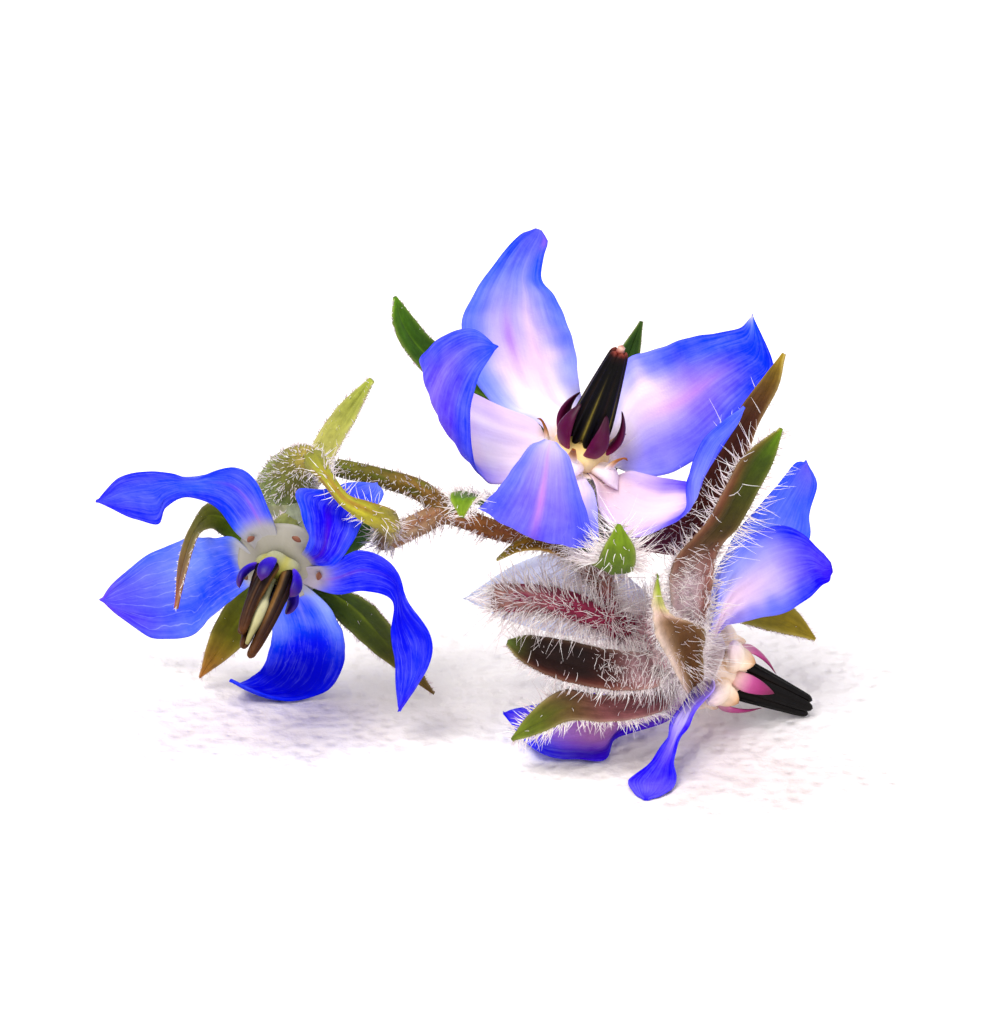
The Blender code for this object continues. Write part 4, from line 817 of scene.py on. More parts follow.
# Painted glow of the bristles: emission strength of their own tint, standing in for light passing through
# them.
BRISTLE_PAINTED_GLOW = 0.06
# Bristles may pass the solids' box by this much, and start and end no lower than this over the cloth.
BRISTLE_REACH = np.array((0.35, 0.2, 0.45))
LOWEST_TIP = 0.02
LOWEST_ROOT = 0.05
# How far bristles stray: out of the plane at a rim, along the surface, any way, and in their bend.  Then
# their bend to the tip, and a power that favours short ones.
RIM_SPREAD = 0.35
LEAN_SPREAD = 0.22
WAY_SPREAD = 0.16
BEND_SPREAD = 0.14
BEND_TO_TIP = 0.12
SHORT_BIAS = 1.4
EVEN = ((0.0, 1.0), (1.0, 1.0))
# Stalk, count, shortest and longest bristle, lean towards the stalk's end, thickness of growth along it.
STALK_BRISTLES = (
    ("stub", 1250, (0.6, 3.0), -0.7, EVEN),
    ("riser", 700, (0.8, 2.8), 0.0, EVEN),
    ("runner", 1050, (0.25, 1.2), 0.15, ((0.0, 1.0), (0.58, 1.0), (0.7, 0.25), (1.0, 0.3))),
    ("side", 460, (0.2, 0.7), 0.1, EVEN),
    ("bract", 150, (0.2, 0.6), 0.4, EVEN),
)
# Calyx part: count over its faces, count along its rims, shortest and longest bristle, lean to its tip.
CALYX_BRISTLES = {
    "left": {"cup": (800, 0, (0.15, 0.5), -0.1), "s1": (40, 130, (0.1, 0.3), 0.5),
             "s2": (40, 240, (0.12, 0.35), 0.5), "s3": (40, 340, (0.15, 0.4), 0.6),
             "s4": (60, 120, (0.15, 0.35), 0.3), "s5": (300, 480, (0.15, 0.5), 0.5)},
    "centre": {"cup": (1200, 0, (1.0, 2.8), -0.1), "s1": (20, 100, (0.12, 0.3), 0.5),
               "s2": (30, 280, (0.12, 0.4), 0.6), "s3": (160, 700, (0.3, 1.2), 0.1),
               "s4": (120, 900, (0.5, 2.0), 0.0), "s5": (420, 180, (0.6, 2.0), 0.5)},
    "right": {"cup": (1700, 0, (0.9, 3.0), -0.3), "a": (900, 480, (0.5, 2.1), 0.3),
              "b": (40, 700, (0.2, 0.7), 0.4), "c": (700, 560, (0.25, 1.3), 0.2),
              "d": (40, 600, (0.25, 1.3), 0.2), "e": (10, 260, (0.12, 0.35), 0.5)},
}
# Faces that bristles grow on unevenly from root to tip.
FACE_GROWTH = {
    ("left", "cup"): ((0.0, 0.0), (0.45, 0.0), (0.58, 1.0), (1.0, 1.0)),
    ("centre", "s5"): ((0.0, 1.0), (0.4, 1.0), (0.55, 0.05), (1.0, 0.05)),
    ("right", "a"): ((0.0, 1.0), (0.42, 1.0), (0.54, 0.03), (1.0, 0.01)),
    ("right", "c"): ((0.0, 1.0), (0.4, 1.0), (0.55, 0.06), (1.0, 0.02)),
}
# Rims that they grow on unevenly.
RIM_GROWTH = {("centre", "s5"): ((0.0, 1.0), (0.16, 1.0), (0.24, 0.04), (1.0, 0.02))}

# Patterns, in marks per millimetre.  Petal cells are about 0.03 mm across and the grain of the other skins
# is about as fine: both are drawn coarser, so that they show.
PETAL_FIBRES = (4.0, 0.3)
PETAL_PATCHES = 0.52
PETAL_CELLS = 7.0
BRISTLE_MARKS = 1.5
CLOTH_CREASES = 0.3
CLOTH_DIMPLES = 1.15
# Veins: their spacing, half their width, how far they wander and in how many waves per millimetre.
VEIN_SPACING = 0.84
VEIN_HALF_WIDTH = 0.05
VEIN_WANDER = 2.0
VEIN_WAVES = 0.3
# Relief of the cloth: its dimples' height beside that of its creases.
DIMPLE_SHARE = 0.5
# Two noises added together lie between these.
TWO_NOISES = (0.7, 1.3)
# Painted shadow on the cloth: grey in two ovals beside the outer blooms, then white.
SHADOW_OVAL = (0.5, 1.0, 1.0)
SHADOW_CENTRES = ((-12.5, 1.0, 0.0), (17.5, -6.0, 0.0))
SHADOW_REACH = (3.0, 10.5)
SHADOW_WAVER = 4.0

SEED = 7
# Floor, lamps and the camera's clipping are in metres.
FLOOR_SIZE = 4.0
WORLD_STRENGTH = 0.66
LAMP_TARGET = (0.0, 0.0, 0.01)
# Lamps: place, width of the disc, power and colour.
LAMPS = {
    "key": ((-0.25, -0.25, 0.75), 0.5, 7.5, "#fffdf8"),
    "fill": ((0.55, -0.45, 0.4), 0.6, 2.0, "#f6f6ff"),
}
CAMERA_CLIP = (0.01, 20.0)
# Camera, in millimetres: distance, sensor, height of the view and the point that it looks at.
CAMERA_DISTANCE = 900.0
SENSOR_WIDTH = 36.0
VIEW_HEIGHT = 63.06
VIEW_CENTRE = (2.187, 6.981, 12.449)


def drawn(point):
    """Place of a drawn point (across, up, depth), in millimetres on the finished sprig."""
    across, up, depth = point[:3]
    height = (up - depth * math.sin(VIEW_TILT)) / math.cos(VIEW_TILT)
    return np.array((across, depth, height)) - FOOT


def drawn_path(stations):
    """Places of the drawn points along a path, each with its radius."""
    return [(*drawn(station), station[3]) for station in stations]


def drawn_margins(stations):
    """Places of a blade's stations, each a point on the one margin and a point on the other."""
    return np.array([[drawn(point) for point in station] for station in stations])


def unit(vectors):
    """Vectors at length one."""
    return vectors / np.maximum(np.linalg.norm(vectors, axis=-1, keepdims=True), TINY)


def steps_along(path):
    """Distances from each point of a path to the next."""
    return np.linalg.norm(np.diff(path, axis=0), axis=1)


def follow(stations, count):
    """Even points on a smooth curve through the stations, measured along their first three columns."""
    points = np.asarray(stations, float)
    padded = np.vstack((2 * points[0] - points[1], points, 2 * points[-1] - points[-2]))
    steps = np.linspace(0.0, 1.0, CURVE_STEPS, endpoint=False)[:, None]
    spans = []
    for before, start, end, after in zip(padded, padded[1:], padded[2:], padded[3:]):
        spans.append(0.5 * (2 * start + (end - before) * steps
                            + (2 * before - 5 * start + 4 * end - after) * steps ** 2
                            + (3 * start - before - 3 * end + after) * steps ** 3))
    curve = np.vstack(spans + [points[-1:]])
    travelled = np.concatenate(((0.0,), steps_along(curve[:, :3]).cumsum()))
    wanted = np.linspace(0.0, travelled[-1], count)
    return np.stack([np.interp(wanted, travelled, column) for column in curve.T], axis=1)


def display(code):
    """sRGB hex as three display values."""
    return np.array([int(code[start:start + 2], 16) for start in (1, 3, 5)]) / 255


def linear(values):
    """Display values to linear ones."""
    values = np.clip(values, 0.0, 1.0)
    return np.where(values <= 0.04045, values / 12.92, ((values + 0.055) / 1.055) ** 2.4)


def paint(code):
    """sRGB hex as an opaque linear colour for a socket."""
    return (*linear(display(code)), 1.0)


def ramp(stops, share):
    """Display colours at shares of the way along (place, hex) stops."""
    colours = np.array([display(code) for place, code in stops])
    places = [place for place, code in stops]
    return np.stack([np.interp(share, places, channel) for channel in colours.T], axis=-1)


def mix(base, other, amount):
    """Colours moved from base towards other by an amount for each point."""
    return base + (other - base) * np.asarray(amount)[..., None]


def rise(share, low, high):
    """Smooth step from 0 at low to 1 at high."""
    share = np.clip((share - low) / (high - low), 0.0, 1.0)
    return share * share * (3 - 2 * share)


def ripple(share, rng, waves, height):
    """Gentle uneven wave made of a few sines."""
    total = np.zeros_like(share)
    for wave in waves:
        total = total + np.sin(2 * math.pi * (wave * share + rng.random())) * rng.uniform(0.5, 1.0)
    return total * height / len(waves)


class Grid:
    """Points laid in rows (root to tip) and columns, with their normals, run, surface map and tints."""

    def __init__(self, points, surface, front, back=None, veins=0.0):
        self.points = points
        along = np.gradient(points, axis=0)
        sideways = np.gradient(points, axis=1)
        if np.allclose(points[:, 0], points[:, -1]):
            sideways[:, 0] = sideways[:, -1] = points[:, 1] - points[:, -2]
        self.along = unit(along)
        self.normal = unit(np.cross(sideways, along))
        self.surface = surface
        self.front = front
        self.back = front if back is None else back
        self.veins = veins


class Form:
    """A piece under construction: one bmesh with its tint, veins and surface map."""

    def __init__(self):
        self.mesh = bmesh.new()
        self.row = self.mesh.verts.layers.int.new("row")
        self.column = self.mesh.verts.layers.int.new("column")
        self.tint = self.mesh.verts.layers.float_color.new("tint")
        self.veins = self.mesh.verts.layers.float.new("veins")
        self.surface = self.mesh.loops.layers.uv.new("surface")

    def lay(self, grid):
        """A flat grid with its corners moved to the points; returns its vertices and faces."""
        rows, columns = (size - 1 for size in grid.points.shape[:2])
        corners = bmesh.ops.create_grid(self.mesh, x_segments=columns, y_segments=rows, size=1.0)["verts"]
        for vert in corners:
            row = round((vert.co.y + 1) / 2 * rows)
            column = round((vert.co.x + 1) / 2 * columns)
            vert[self.row], vert[self.column] = row, column
            vert[self.veins] = grid.veins
            vert[self.tint] = (*grid.front[row, column], 1.0)
            vert.co = grid.points[row, column] * MM
        faces = list(dict.fromkeys(face for vert in corners for face in vert.link_faces))
        for face in faces:
            for loop in face.loops:
                loop[self.surface].uv = grid.surface[loop.vert[self.row], loop.vert[self.column]]
        return corners, faces

    def add_shell(self, grid, thickness):
        """A thin leaf with a wall that is thinner at its rims."""
        corners, faces = self.lay(grid)
        grown = bmesh.ops.extrude_face_region(self.mesh, geom=faces, use_keep_orig=True)["geom"]
        behind = [item for item in grown if isinstance(item, bmesh.types.BMVert)]
        columns = grid.points.shape[1] - 1
        for verts, side, tints in ((corners, 0.5, grid.front), (behind, -0.5, grid.back)):
            for vert in verts:
                row, column = vert[self.row], vert[self.column]
                rim = abs(2 * column / columns - 1) ** 4
                offset = grid.normal[row, column] * thickness * side * (1 - (1 - RIM_WALL) * rim)
                vert.co = (grid.points[row, column] + offset) * MM
                vert[self.tint] = (*tints[row, column], 1.0)

    def add_tube(self, grid):
        """A grid rolled up: its seam and its closed ends are welded."""
        corners = self.lay(grid)[0]
        bmesh.ops.remove_doubles(self.mesh, verts=corners, dist=WELD * MM)

    def finish(self, name, material, slot, node=None):
        """Makes the form a piece of the sprig, in place of a CAD node if it is given one."""
        layers = self.mesh.verts.layers.int
        for index in ("row", "column"):
            layers.remove(layers[index])
        bmesh.ops.recalc_face_normals(self.mesh, faces=self.mesh.faces[:])
        for face in self.mesh.faces:
            face.smooth = True
        mesh = bpy.data.meshes.new(name)
        self.mesh.to_mesh(mesh)
        self.mesh.free()
        piece = add_piece(name, mesh, material)
        if node:
            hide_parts(node)


def add_object(name, data):
    """A new object in the scene, at the origin."""
    made = bpy.data.objects.new(name, data)
    bpy.context.scene.collection.objects.link(made)
    return made


def add_piece(name, mesh, material):
    """A mesh on the sprig's one body."""
    mesh.materials.append(material)
    piece = add_object(name, mesh)
    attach(piece, "root")
    return piece


def spots_over(tints, spots, across, down):
    """Tints with soft oval spots laid over them."""
    for where, height, half_width, half_length, code, strength in spots:
        near = np.exp(-((across - where) / half_width) ** 2 - ((down - height) / half_length) ** 2)
        tints = mix(tints, display(code), near * strength)
    return tints


def leaf_curve(placed, rows):
    """Even stations along a leaf: its middle, half width, direction across and inner facing."""
    left, right = placed[:, 0], placed[:, 1]
    curve = follow(np.hstack(((left + right) / 2, left, right)), rows + 1)
    middle, left, right = curve[:, :3], curve[:, 3:6], curve[:, 6:]
    span = right - left
    facing = unit(np.cross(span, np.gradient(middle, axis=0)))
    across = unit(span)
    for direction in (facing, across):
        direction[-1] = direction[-2]
    return middle, np.linalg.norm(span, axis=1) / 2, across, facing


def blade_shares(size):
    """Share of the way down a blade for each row, and from -1 to 1 across it for each column."""
    rows, columns = size
    return np.linspace(0.0, 1.0, rows + 1)[:, None], np.linspace(-1.0, 1.0, columns + 1)[None, :]


def blade_points(middle, across, facing, aside, lift):
    """Points of a blade, each aside from its middle line and lifted off it."""
    return middle[:, None] + across[:, None] * aside[..., None] + facing[:, None] * lift[..., None]


def petal(bloom, margins, look, rng):
    """A petal from the throat to its tip, cupped, folded and ruffled, with its tints."""
    placed = drawn_margins(margins)
    middle = bloom.throat + bloom.axis * THROAT_HEIGHT
    root = middle + (placed[0] - middle) * THROAT_SHARE
    middle, half, across, facing = leaf_curve(np.vstack((root[None], placed)), PETAL_GRID[0])
    down, share = blade_shares(PETAL_GRID)
    half = half[:, None] * (1 + ripple(down, rng, (3, 5, 9), PETAL_WAVER))
    half = np.maximum(half * (1 - TIP_ROUNDING * rise(down, 0.95, 1.0) ** 2), PETAL_TIP)
    body = rise(down, 0.05, 0.3) * (1 - rise(down, 0.85, 1.0))
    rib = np.exp(-(share / PETAL_RIB_WIDTH) ** 2) * rise(down, 0.1, 0.3) * (1 - rise(down, 0.8, 1.0))
    folds = np.cos(2 * math.pi * (PETAL_FOLDS * share + ripple(down, rng, (1, 2), 0.2)))
    billow = ripple(down + 0.4 * share, rng, (2, 4, 7), PETAL_BILLOW)
    ruffle = ripple(down + 0.06 * share, rng, (2, 3, 5), PETAL_RUFFLE)
    lift = (folds * PETAL_FOLD + billow + np.abs(share) ** 3 * ruffle) * body
    lift = lift - PETAL_CUP * half * (1 - share ** 2) - PETAL_RIB * rib
    points = blade_points(middle, across, facing, half * share, lift)
    points[..., 2] = np.maximum(points[..., 2], REST_HEIGHT)
    down, share = np.broadcast_arrays(down, share)
    rim = rise(np.abs(share) + ripple(down, rng, (4, 7, 11), 0.12), 0.35, 1.0)
    front = mix(ramp(look["middle"], down), ramp(look["rim"], down), rim)
    front = spots_over(front, look["spots"], share, down)
    back = mix(ramp(look["outer"], down), ramp(look["rim"], down), rim * 0.6)
    back = spots_over(back, look["spots"], share, down)
    code, reach = look["root"]
    near = 1 - rise(np.linalg.norm(points - bloom.throat, axis=-1), ROOT_FULL * reach, reach)
    front, back = mix(front, display(code), near), mix(back, display(code), near * 0.7)
    surface = np.stack((share * PETAL_MAP, down * steps_along(middle).sum()), axis=-1)
    return Grid(points, surface, linear(front) ** PETAL_DEPTH, linear(back) ** PETAL_DEPTH, look["veins"])


def sepal(placed, look, rng):
    """A narrow leaf with a crease along its middle and pale rims, with its tints."""
    middle, half, across, facing = leaf_curve(placed, SEPAL_GRID[0])
    down, share = blade_shares(SEPAL_GRID)
    half = np.maximum(half[:, None] * (1 + ripple(down, rng, (4, 9), SEPAL_WAVER)), SEPAL_TIP)
    crease = np.exp(-(share / SEPAL_CREASE_WIDTH) ** 2) * (1 - rise(down, 0.85, 1.0))
    lift = -SEPAL_CUP * half * (1 - share ** 2) - SEPAL_CREASE * crease
    points = blade_points(middle, across, facing, half * share, lift)
    down, share = np.broadcast_arrays(down, share)
    pale = rise(np.abs(share), 0.75, 1.0) * SEPAL_RIM_STRENGTH
    faces = []
    for stops in (look["inner"], look["outer"]):
        tints = spots_over(ramp(stops, down), look["spots"], share, down)
        faces.append(linear(mix(tints, display(SEPAL_RIM), pale)) ** LEAF_DEPTH)
    surface = np.stack((share * SEPAL_MAP, down * steps_along(middle).sum()), axis=-1)
    return Grid(points, surface, *faces)


def roll_shares(rows, angles):
    """For each point of a rolled grid, its share of the way down and of the way round."""
    turn, down = np.meshgrid(angles / (2 * math.pi), np.linspace(0.0, 1.0, rows + 1))
    return down, turn


def rolled(stations, size, tints, flatten=1.0, broad=SKEW, ribs=(0, 0.0)):
    """Grid rolled round a path with radii; its section may be flattened, and ribbed along its length."""
    rows, sides = size
    curve = follow(stations, rows + 1)
    middle, girth = curve[:, :3], curve[:, 3]
    along = unit(np.gradient(middle, axis=0))
    side = unit(np.cross(along[0], broad))
    angles = np.linspace(0.0, 2 * math.pi, sides + 1)
    points = np.empty((rows + 1, sides + 1, 3))
    for row in range(rows + 1):
        side = unit(side - along[row] * side.dot(along[row]))
        up = np.cross(along[row], side)
        reach = girth[row] * (1 + ribs[1] * np.cos(ribs[0] * angles))
        points[row] = middle[row] + (reach[:, None] * (side * np.cos(angles)[:, None]
                                                       + up * np.sin(angles)[:, None] * flatten))
    down, turn = roll_shares(rows, angles)
    surface = np.stack((turn * 2 * math.pi * girth.mean(), down * steps_along(middle).sum()), axis=-1)
    return Grid(points, surface, linear(tints(down, turn)))


def rounded_end(end, inside, tip):
    """A narrowed station beyond the end of a path, and then its last point."""
    out = unit(end[:3] - inside[:3]) * end[3] * tip
    shoulder = np.append(end[:3] + out * SHOULDER_PLACE, end[3] * SHOULDER_RADIUS)
    return shoulder, np.append(end[:3] + out, 0.0)


def closed(stations, tip=0.5):
    """The stations with rounded ends, which run out to nothing a share of the radius further on."""
    stations = np.asarray(stations, float)
    near_first, first = rounded_end(stations[0], stations[1], tip)
    near_last, last = rounded_end(stations[-1], stations[-2], tip)
    return np.vstack((first, near_first, stations, near_last, last))


class Bloom:
    """Throat centre of one bloom, with the axis of its face or of its stamens, as in the solids."""

    def __init__(self, side, axis="faces"):
        plan = BLOOMS[side]
        self.throat = drawn(plan["throat"])
        self.axis = unit(np.array(plan[axis]))
        self.cup = drawn_path(plan["cup"])
        level = np.array((1.0, 0.0, 0.0))
        self.across = unit(level - self.axis * level.dot(self.axis))
        self.upward = np.cross(self.axis, self.across)
        self.turn = math.radians(plan["turn"])

    def outward(self, angle):
        """Direction straight out from the axis, at an angle round it."""
        return self.across * math.cos(angle) + self.upward * math.sin(angle)

    def place(self, height, out, angle):
        """Point at a height along the axis and a distance out from it."""
        return self.throat + self.axis * height + self.outward(angle) * out

    def fifths(self, offset=0.0):
        """Five even angles round the axis, moved on by a share of a fifth."""
        return [self.turn + 2 * math.pi * (index + offset) / 5 for index in range(5)]


def turned(bloom, profile, size, tints, lobes, offset=0.0):
    """Grid turned round a bloom's axis from (height, distance out) stations, in five soft lobes."""
    rows, sides = size
    stations = np.array([(height, out, 0.0) for height, out in profile])
    angles = np.linspace(0.0, 2 * math.pi, sides + 1)
    points = np.empty((rows + 1, sides + 1, 3))
    for row, (height, out) in enumerate(follow(stations, rows + 1)[:, :2]):
        for column, angle in enumerate(angles):
            swell = 1 + lobes * math.cos(5 * (angle - offset))
            points[row, column] = bloom.place(height, max(out, 0.0) * swell, bloom.turn + angle)
    down, turn = roll_shares(rows, angles)
    surface = np.stack((turn * TURNED_MAP[0], down * TURNED_MAP[1]), axis=-1)
    return Grid(points, surface, linear(tints(down, turn)))


def corolla_piece(side, material, rng):
    """Five petals and the shallow dish that joins them."""
    bloom, form = Bloom(side), Form()
    for name, margins in PETALS[side].items():
        form.add_shell(petal(bloom, margins, PETAL_LOOKS[side][name], rng), PETAL_THICKNESS)
    plan = THROAT_LOOKS[side]
    form.add_tube(turned(bloom, DISH_PROFILE[side], DISH_GRID, lambda down, turn: ramp(plan["dish"], down),
                         DISH_LOBE))
    form.finish(f"petals_{side}", material, plan["slot"], f"corolla_{side}")


def arm(bloom, profile, angle, tints, flatness):
    """A tapering grid along (height, distance out, radius) stations at one angle, broad across the angle."""
    stations = [(*bloom.place(height, out, angle), radius) for height, out, radius in profile]
    return rolled(stations, ARM_GRID, lambda down, turn: ramp(tints, down), flatness, bloom.outward(angle))


def throat_piece(side, material):
    """A pale swelling at each petal's root, if the throat shows one, with a scale that stands on it."""
    bloom, form = Bloom(side), Form()
    plan = THROAT_LOOKS[side]
    for angle in bloom.fifths():
        if side in SWELLING_PROFILE:
            form.add_tube(arm(bloom, SWELLING_PROFILE[side], angle, plan["swelling"],
                              SWELLING_FLATNESS[side]))
        form.add_tube(arm(bloom, SCALE_PROFILE[side], angle, plan["scale"], SCALE_FLATNESS))
    form.finish(f"throat_scales_{side}", material, plan["slot"])


def horn_piece(side, material):
    """Filament bases swollen round the style, and a flattened horn behind each anther."""
    bloom, form = Bloom(side, "stamens"), Form()
    plan = STAMEN_LOOKS[side]

    def filament_tints(down, turn):
        furrow = FURROW_STRENGTH * np.cos(5 * math.pi * turn) ** 8
        return mix(ramp(plan["filament"], down), display(plan["furrow"]), furrow)

    form.add_tube(turned(bloom, FILAMENT_PROFILES[side], FILAMENT_GRID, filament_tints, FILAMENT_LOBE,
                         math.pi / 5))
    for angle in bloom.fifths(0.5):
        form.add_tube(arm(bloom, HORN_PROFILE[side], angle, plan["horn"], HORN_FLATNESS[side]))
    form.finish(f"filaments_{side}", material, "horns", f"stamen_horns_{side}")


def anther(bloom, side, angle, length, spread, swing):
    """One anther: two rounded sacs side by side, with a furrow between them, drawn out to a tip."""
    rows, sides = ANTHER_GRID
    down = np.linspace(0.0, 1.0, rows + 1)
    turns = np.linspace(0.0, 2 * math.pi, sides + 1)
    outer = np.interp(down, *zip(*ANTHER_OUTER)) + spread * down ** 2
    wide = np.interp(down, *zip(*ANTHER_WIDTH[side]))
    foot_end, tip_end = ANTHER_ENDS
    outward = bloom.outward(angle)
    sideways = np.cross(bloom.axis, outward)
    points = np.empty((rows + 1, sides + 1, 3))
    for row in range(rows + 1):
        end = math.sqrt(max(0.0, 1 - (1 - min(1.0, down[row] / foot_end)) ** 2))
        end *= math.sqrt(max(0.0, 1 - max(0.0, (down[row] - tip_end) / (1 - tip_end)) ** 2))
        for column, turn in enumerate(turns):
            lean = math.cos(turn)
            furrow = 1 - ANTHER_FURROW * math.exp(-(lean / ANTHER_FURROW_WIDTH) ** 2)
            sac = -SAC_DROP * (1 - down[row]) ** 5 * (1 - (2 * min(1.0, abs(lean)) - 1) ** 2)
            height = ANTHER_FOOT[side] + down[row] * length + sac
            aside = wide[row] * end * lean + swing * math.sin(math.pi * down[row] * ANTHER_SWING)
            out = outer[row] * (1 - ANTHER_DEPTH * (1 - end * furrow * math.sin(turn)))
            points[row, column] = bloom.throat + bloom.axis * height + sideways * aside + outward * out
    down, turn = np.meshgrid(down, turns, indexing="ij")
    surface = np.stack((turn / 2, down * length), axis=-1)
    return Grid(points, surface, linear(anther_tints(STAMEN_LOOKS[side], down, turn)))


def anther_tints(look, down, turn):
    """Dark sacs, with a paler seam down each side and a paler groove down the outer face."""
    lean = np.cos(turn)
    seam = rise(np.abs(lean), 0.86, 0.97) * rise(down, 0.02, 0.08) * (1 - rise(down, 0.4, 0.9))
    groove = np.exp(-(lean / 0.14) ** 2) * (np.sin(turn) > 0) * rise(down, 0.05, 0.2)
    groove = groove * (1 - rise(down, 0.6, 0.95))
    tints = mix(ramp(look["sac"], down), display(look["seam"]), seam * look["seam_strength"])
    return mix(tints, display(look["groove"]), groove * look["groove_strength"])


def anther_piece(side, material):
    """Five anthers that stand together in a cone."""
    bloom, form = Bloom(side, "stamens"), Form()
    plan = STAMEN_LOOKS[side]
    for angle, *shape in zip(bloom.fifths(0.5), plan["lengths"], plan["spreads"], plan["swings"]):
        form.add_tube(anther(bloom, side, angle, *shape))
    form.finish(f"anthers_{side}", material, "anthers", f"anther_cone_{side}")


def style_piece(side, material):
    """The rod through the cone, with the stigma at its end."""
    bloom, form = Bloom(side, "stamens"), Form()
    stations = closed([(*bloom.place(height, 0.0, 0.0), radius) for height, radius in STYLE_PROFILE[side]])
    form.add_tube(rolled(stations, STYLE_GRID, lambda down, turn: ramp(STYLE_TINTS[side], down)))
    form.finish(f"stigma_{side}", material, "style", f"style_{side}")


def blotched(look):
    """Tints along a stalk or cup, with soft blotches where two waves that wind round it meet."""

    def tints(down, turn):
        one_wave = np.sin(2 * math.pi * (3 * turn + 1.3 * down))
        other_wave = np.sin(2 * math.pi * (2 * turn - 2.1 * down) + 1.0)
        blotch = rise(one_wave * other_wave, 0.15, 0.8) * look["strength"]
        return mix(ramp(look["along"], down), display(look["blotch"]), blotch)

    return tints


def calyx_piece(side, material, rng):
    """Cup and sepals; returns the grids that the bristles grow from."""
    bloom, form = Bloom(side), Form()
    rim = (*bloom.place(-CALYX_RIM, 0.0, 0.0), CALYX_RIM_RADIUS)
    cup = rolled(closed([rim] + bloom.cup), CUP_GRID, blotched(CUP_LOOKS[side]), ribs=CUP_RIBS)
    form.add_tube(cup)
    waist = np.array(bloom.cup[0][:3])
    leaves = {}
    for name, margins in SEPALS[side].items():
        placed = drawn_margins(margins)
        root = waist + (placed[0] - placed[0].mean(axis=0)) * SEPAL_ROOT_SHARE
        leaves[name] = sepal(np.vstack((root[None], placed)), SEPAL_LOOKS[side][name], rng)
        form.add_shell(leaves[name], SEPAL_THICKNESS)
    form.finish(f"sepals_{side}", material, "calyx", f"calyx_{side}")
    return cup, leaves


def stem_piece(material, rng):
    """Stalks and their bract in one piece; returns the grids that the bristles grow from."""
    form = Form()
    grown = {}
    for name, stations in STALKS.items():
        placed = closed(drawn_path(stations), STALK_ENDS.get(name, 0.5))
        size = (STALK_ROWS * len(stations), STALK_SIDES)
        grown[name] = rolled(placed, size, blotched(STALK_LOOKS[name]), ribs=STALK_RIBS)
        form.add_tube(grown[name])
    for margins in BRACTS.values():
        grown["bract"] = sepal(drawn_margins(margins), BRACT_LOOK, rng)
        form.add_shell(grown["bract"], SEPAL_THICKNESS)
    form.finish("stalks", material, "stem", "stem")
    return grown


def bristle_form():
    """One straight bristle, one tall and one in radius at its foot, as vertices and triangles."""
    solid = bmesh.new()
    bmesh.ops.create_cone(solid, cap_ends=True, segments=BRISTLE_SIDES, radius1=1.0, radius2=BRISTLE_TAPER,
                          depth=1.0)
    bmesh.ops.translate(solid, verts=solid.verts[:], vec=(0.0, 0.0, 0.5))
    tall = [edge for edge in solid.edges if abs(edge.verts[0].co.z - edge.verts[1].co.z) > 0.5]
    bmesh.ops.subdivide_edges(solid, edges=tall, cuts=BRISTLE_CUTS)
    bmesh.ops.triangulate(solid, faces=solid.faces[:])
    solid.verts.index_update()
    points = np.array([vert.co[:] for vert in solid.verts])
    faces = np.array([[vert.index for vert in face.verts] for face in solid.faces])
    solid.free()
    return points, faces


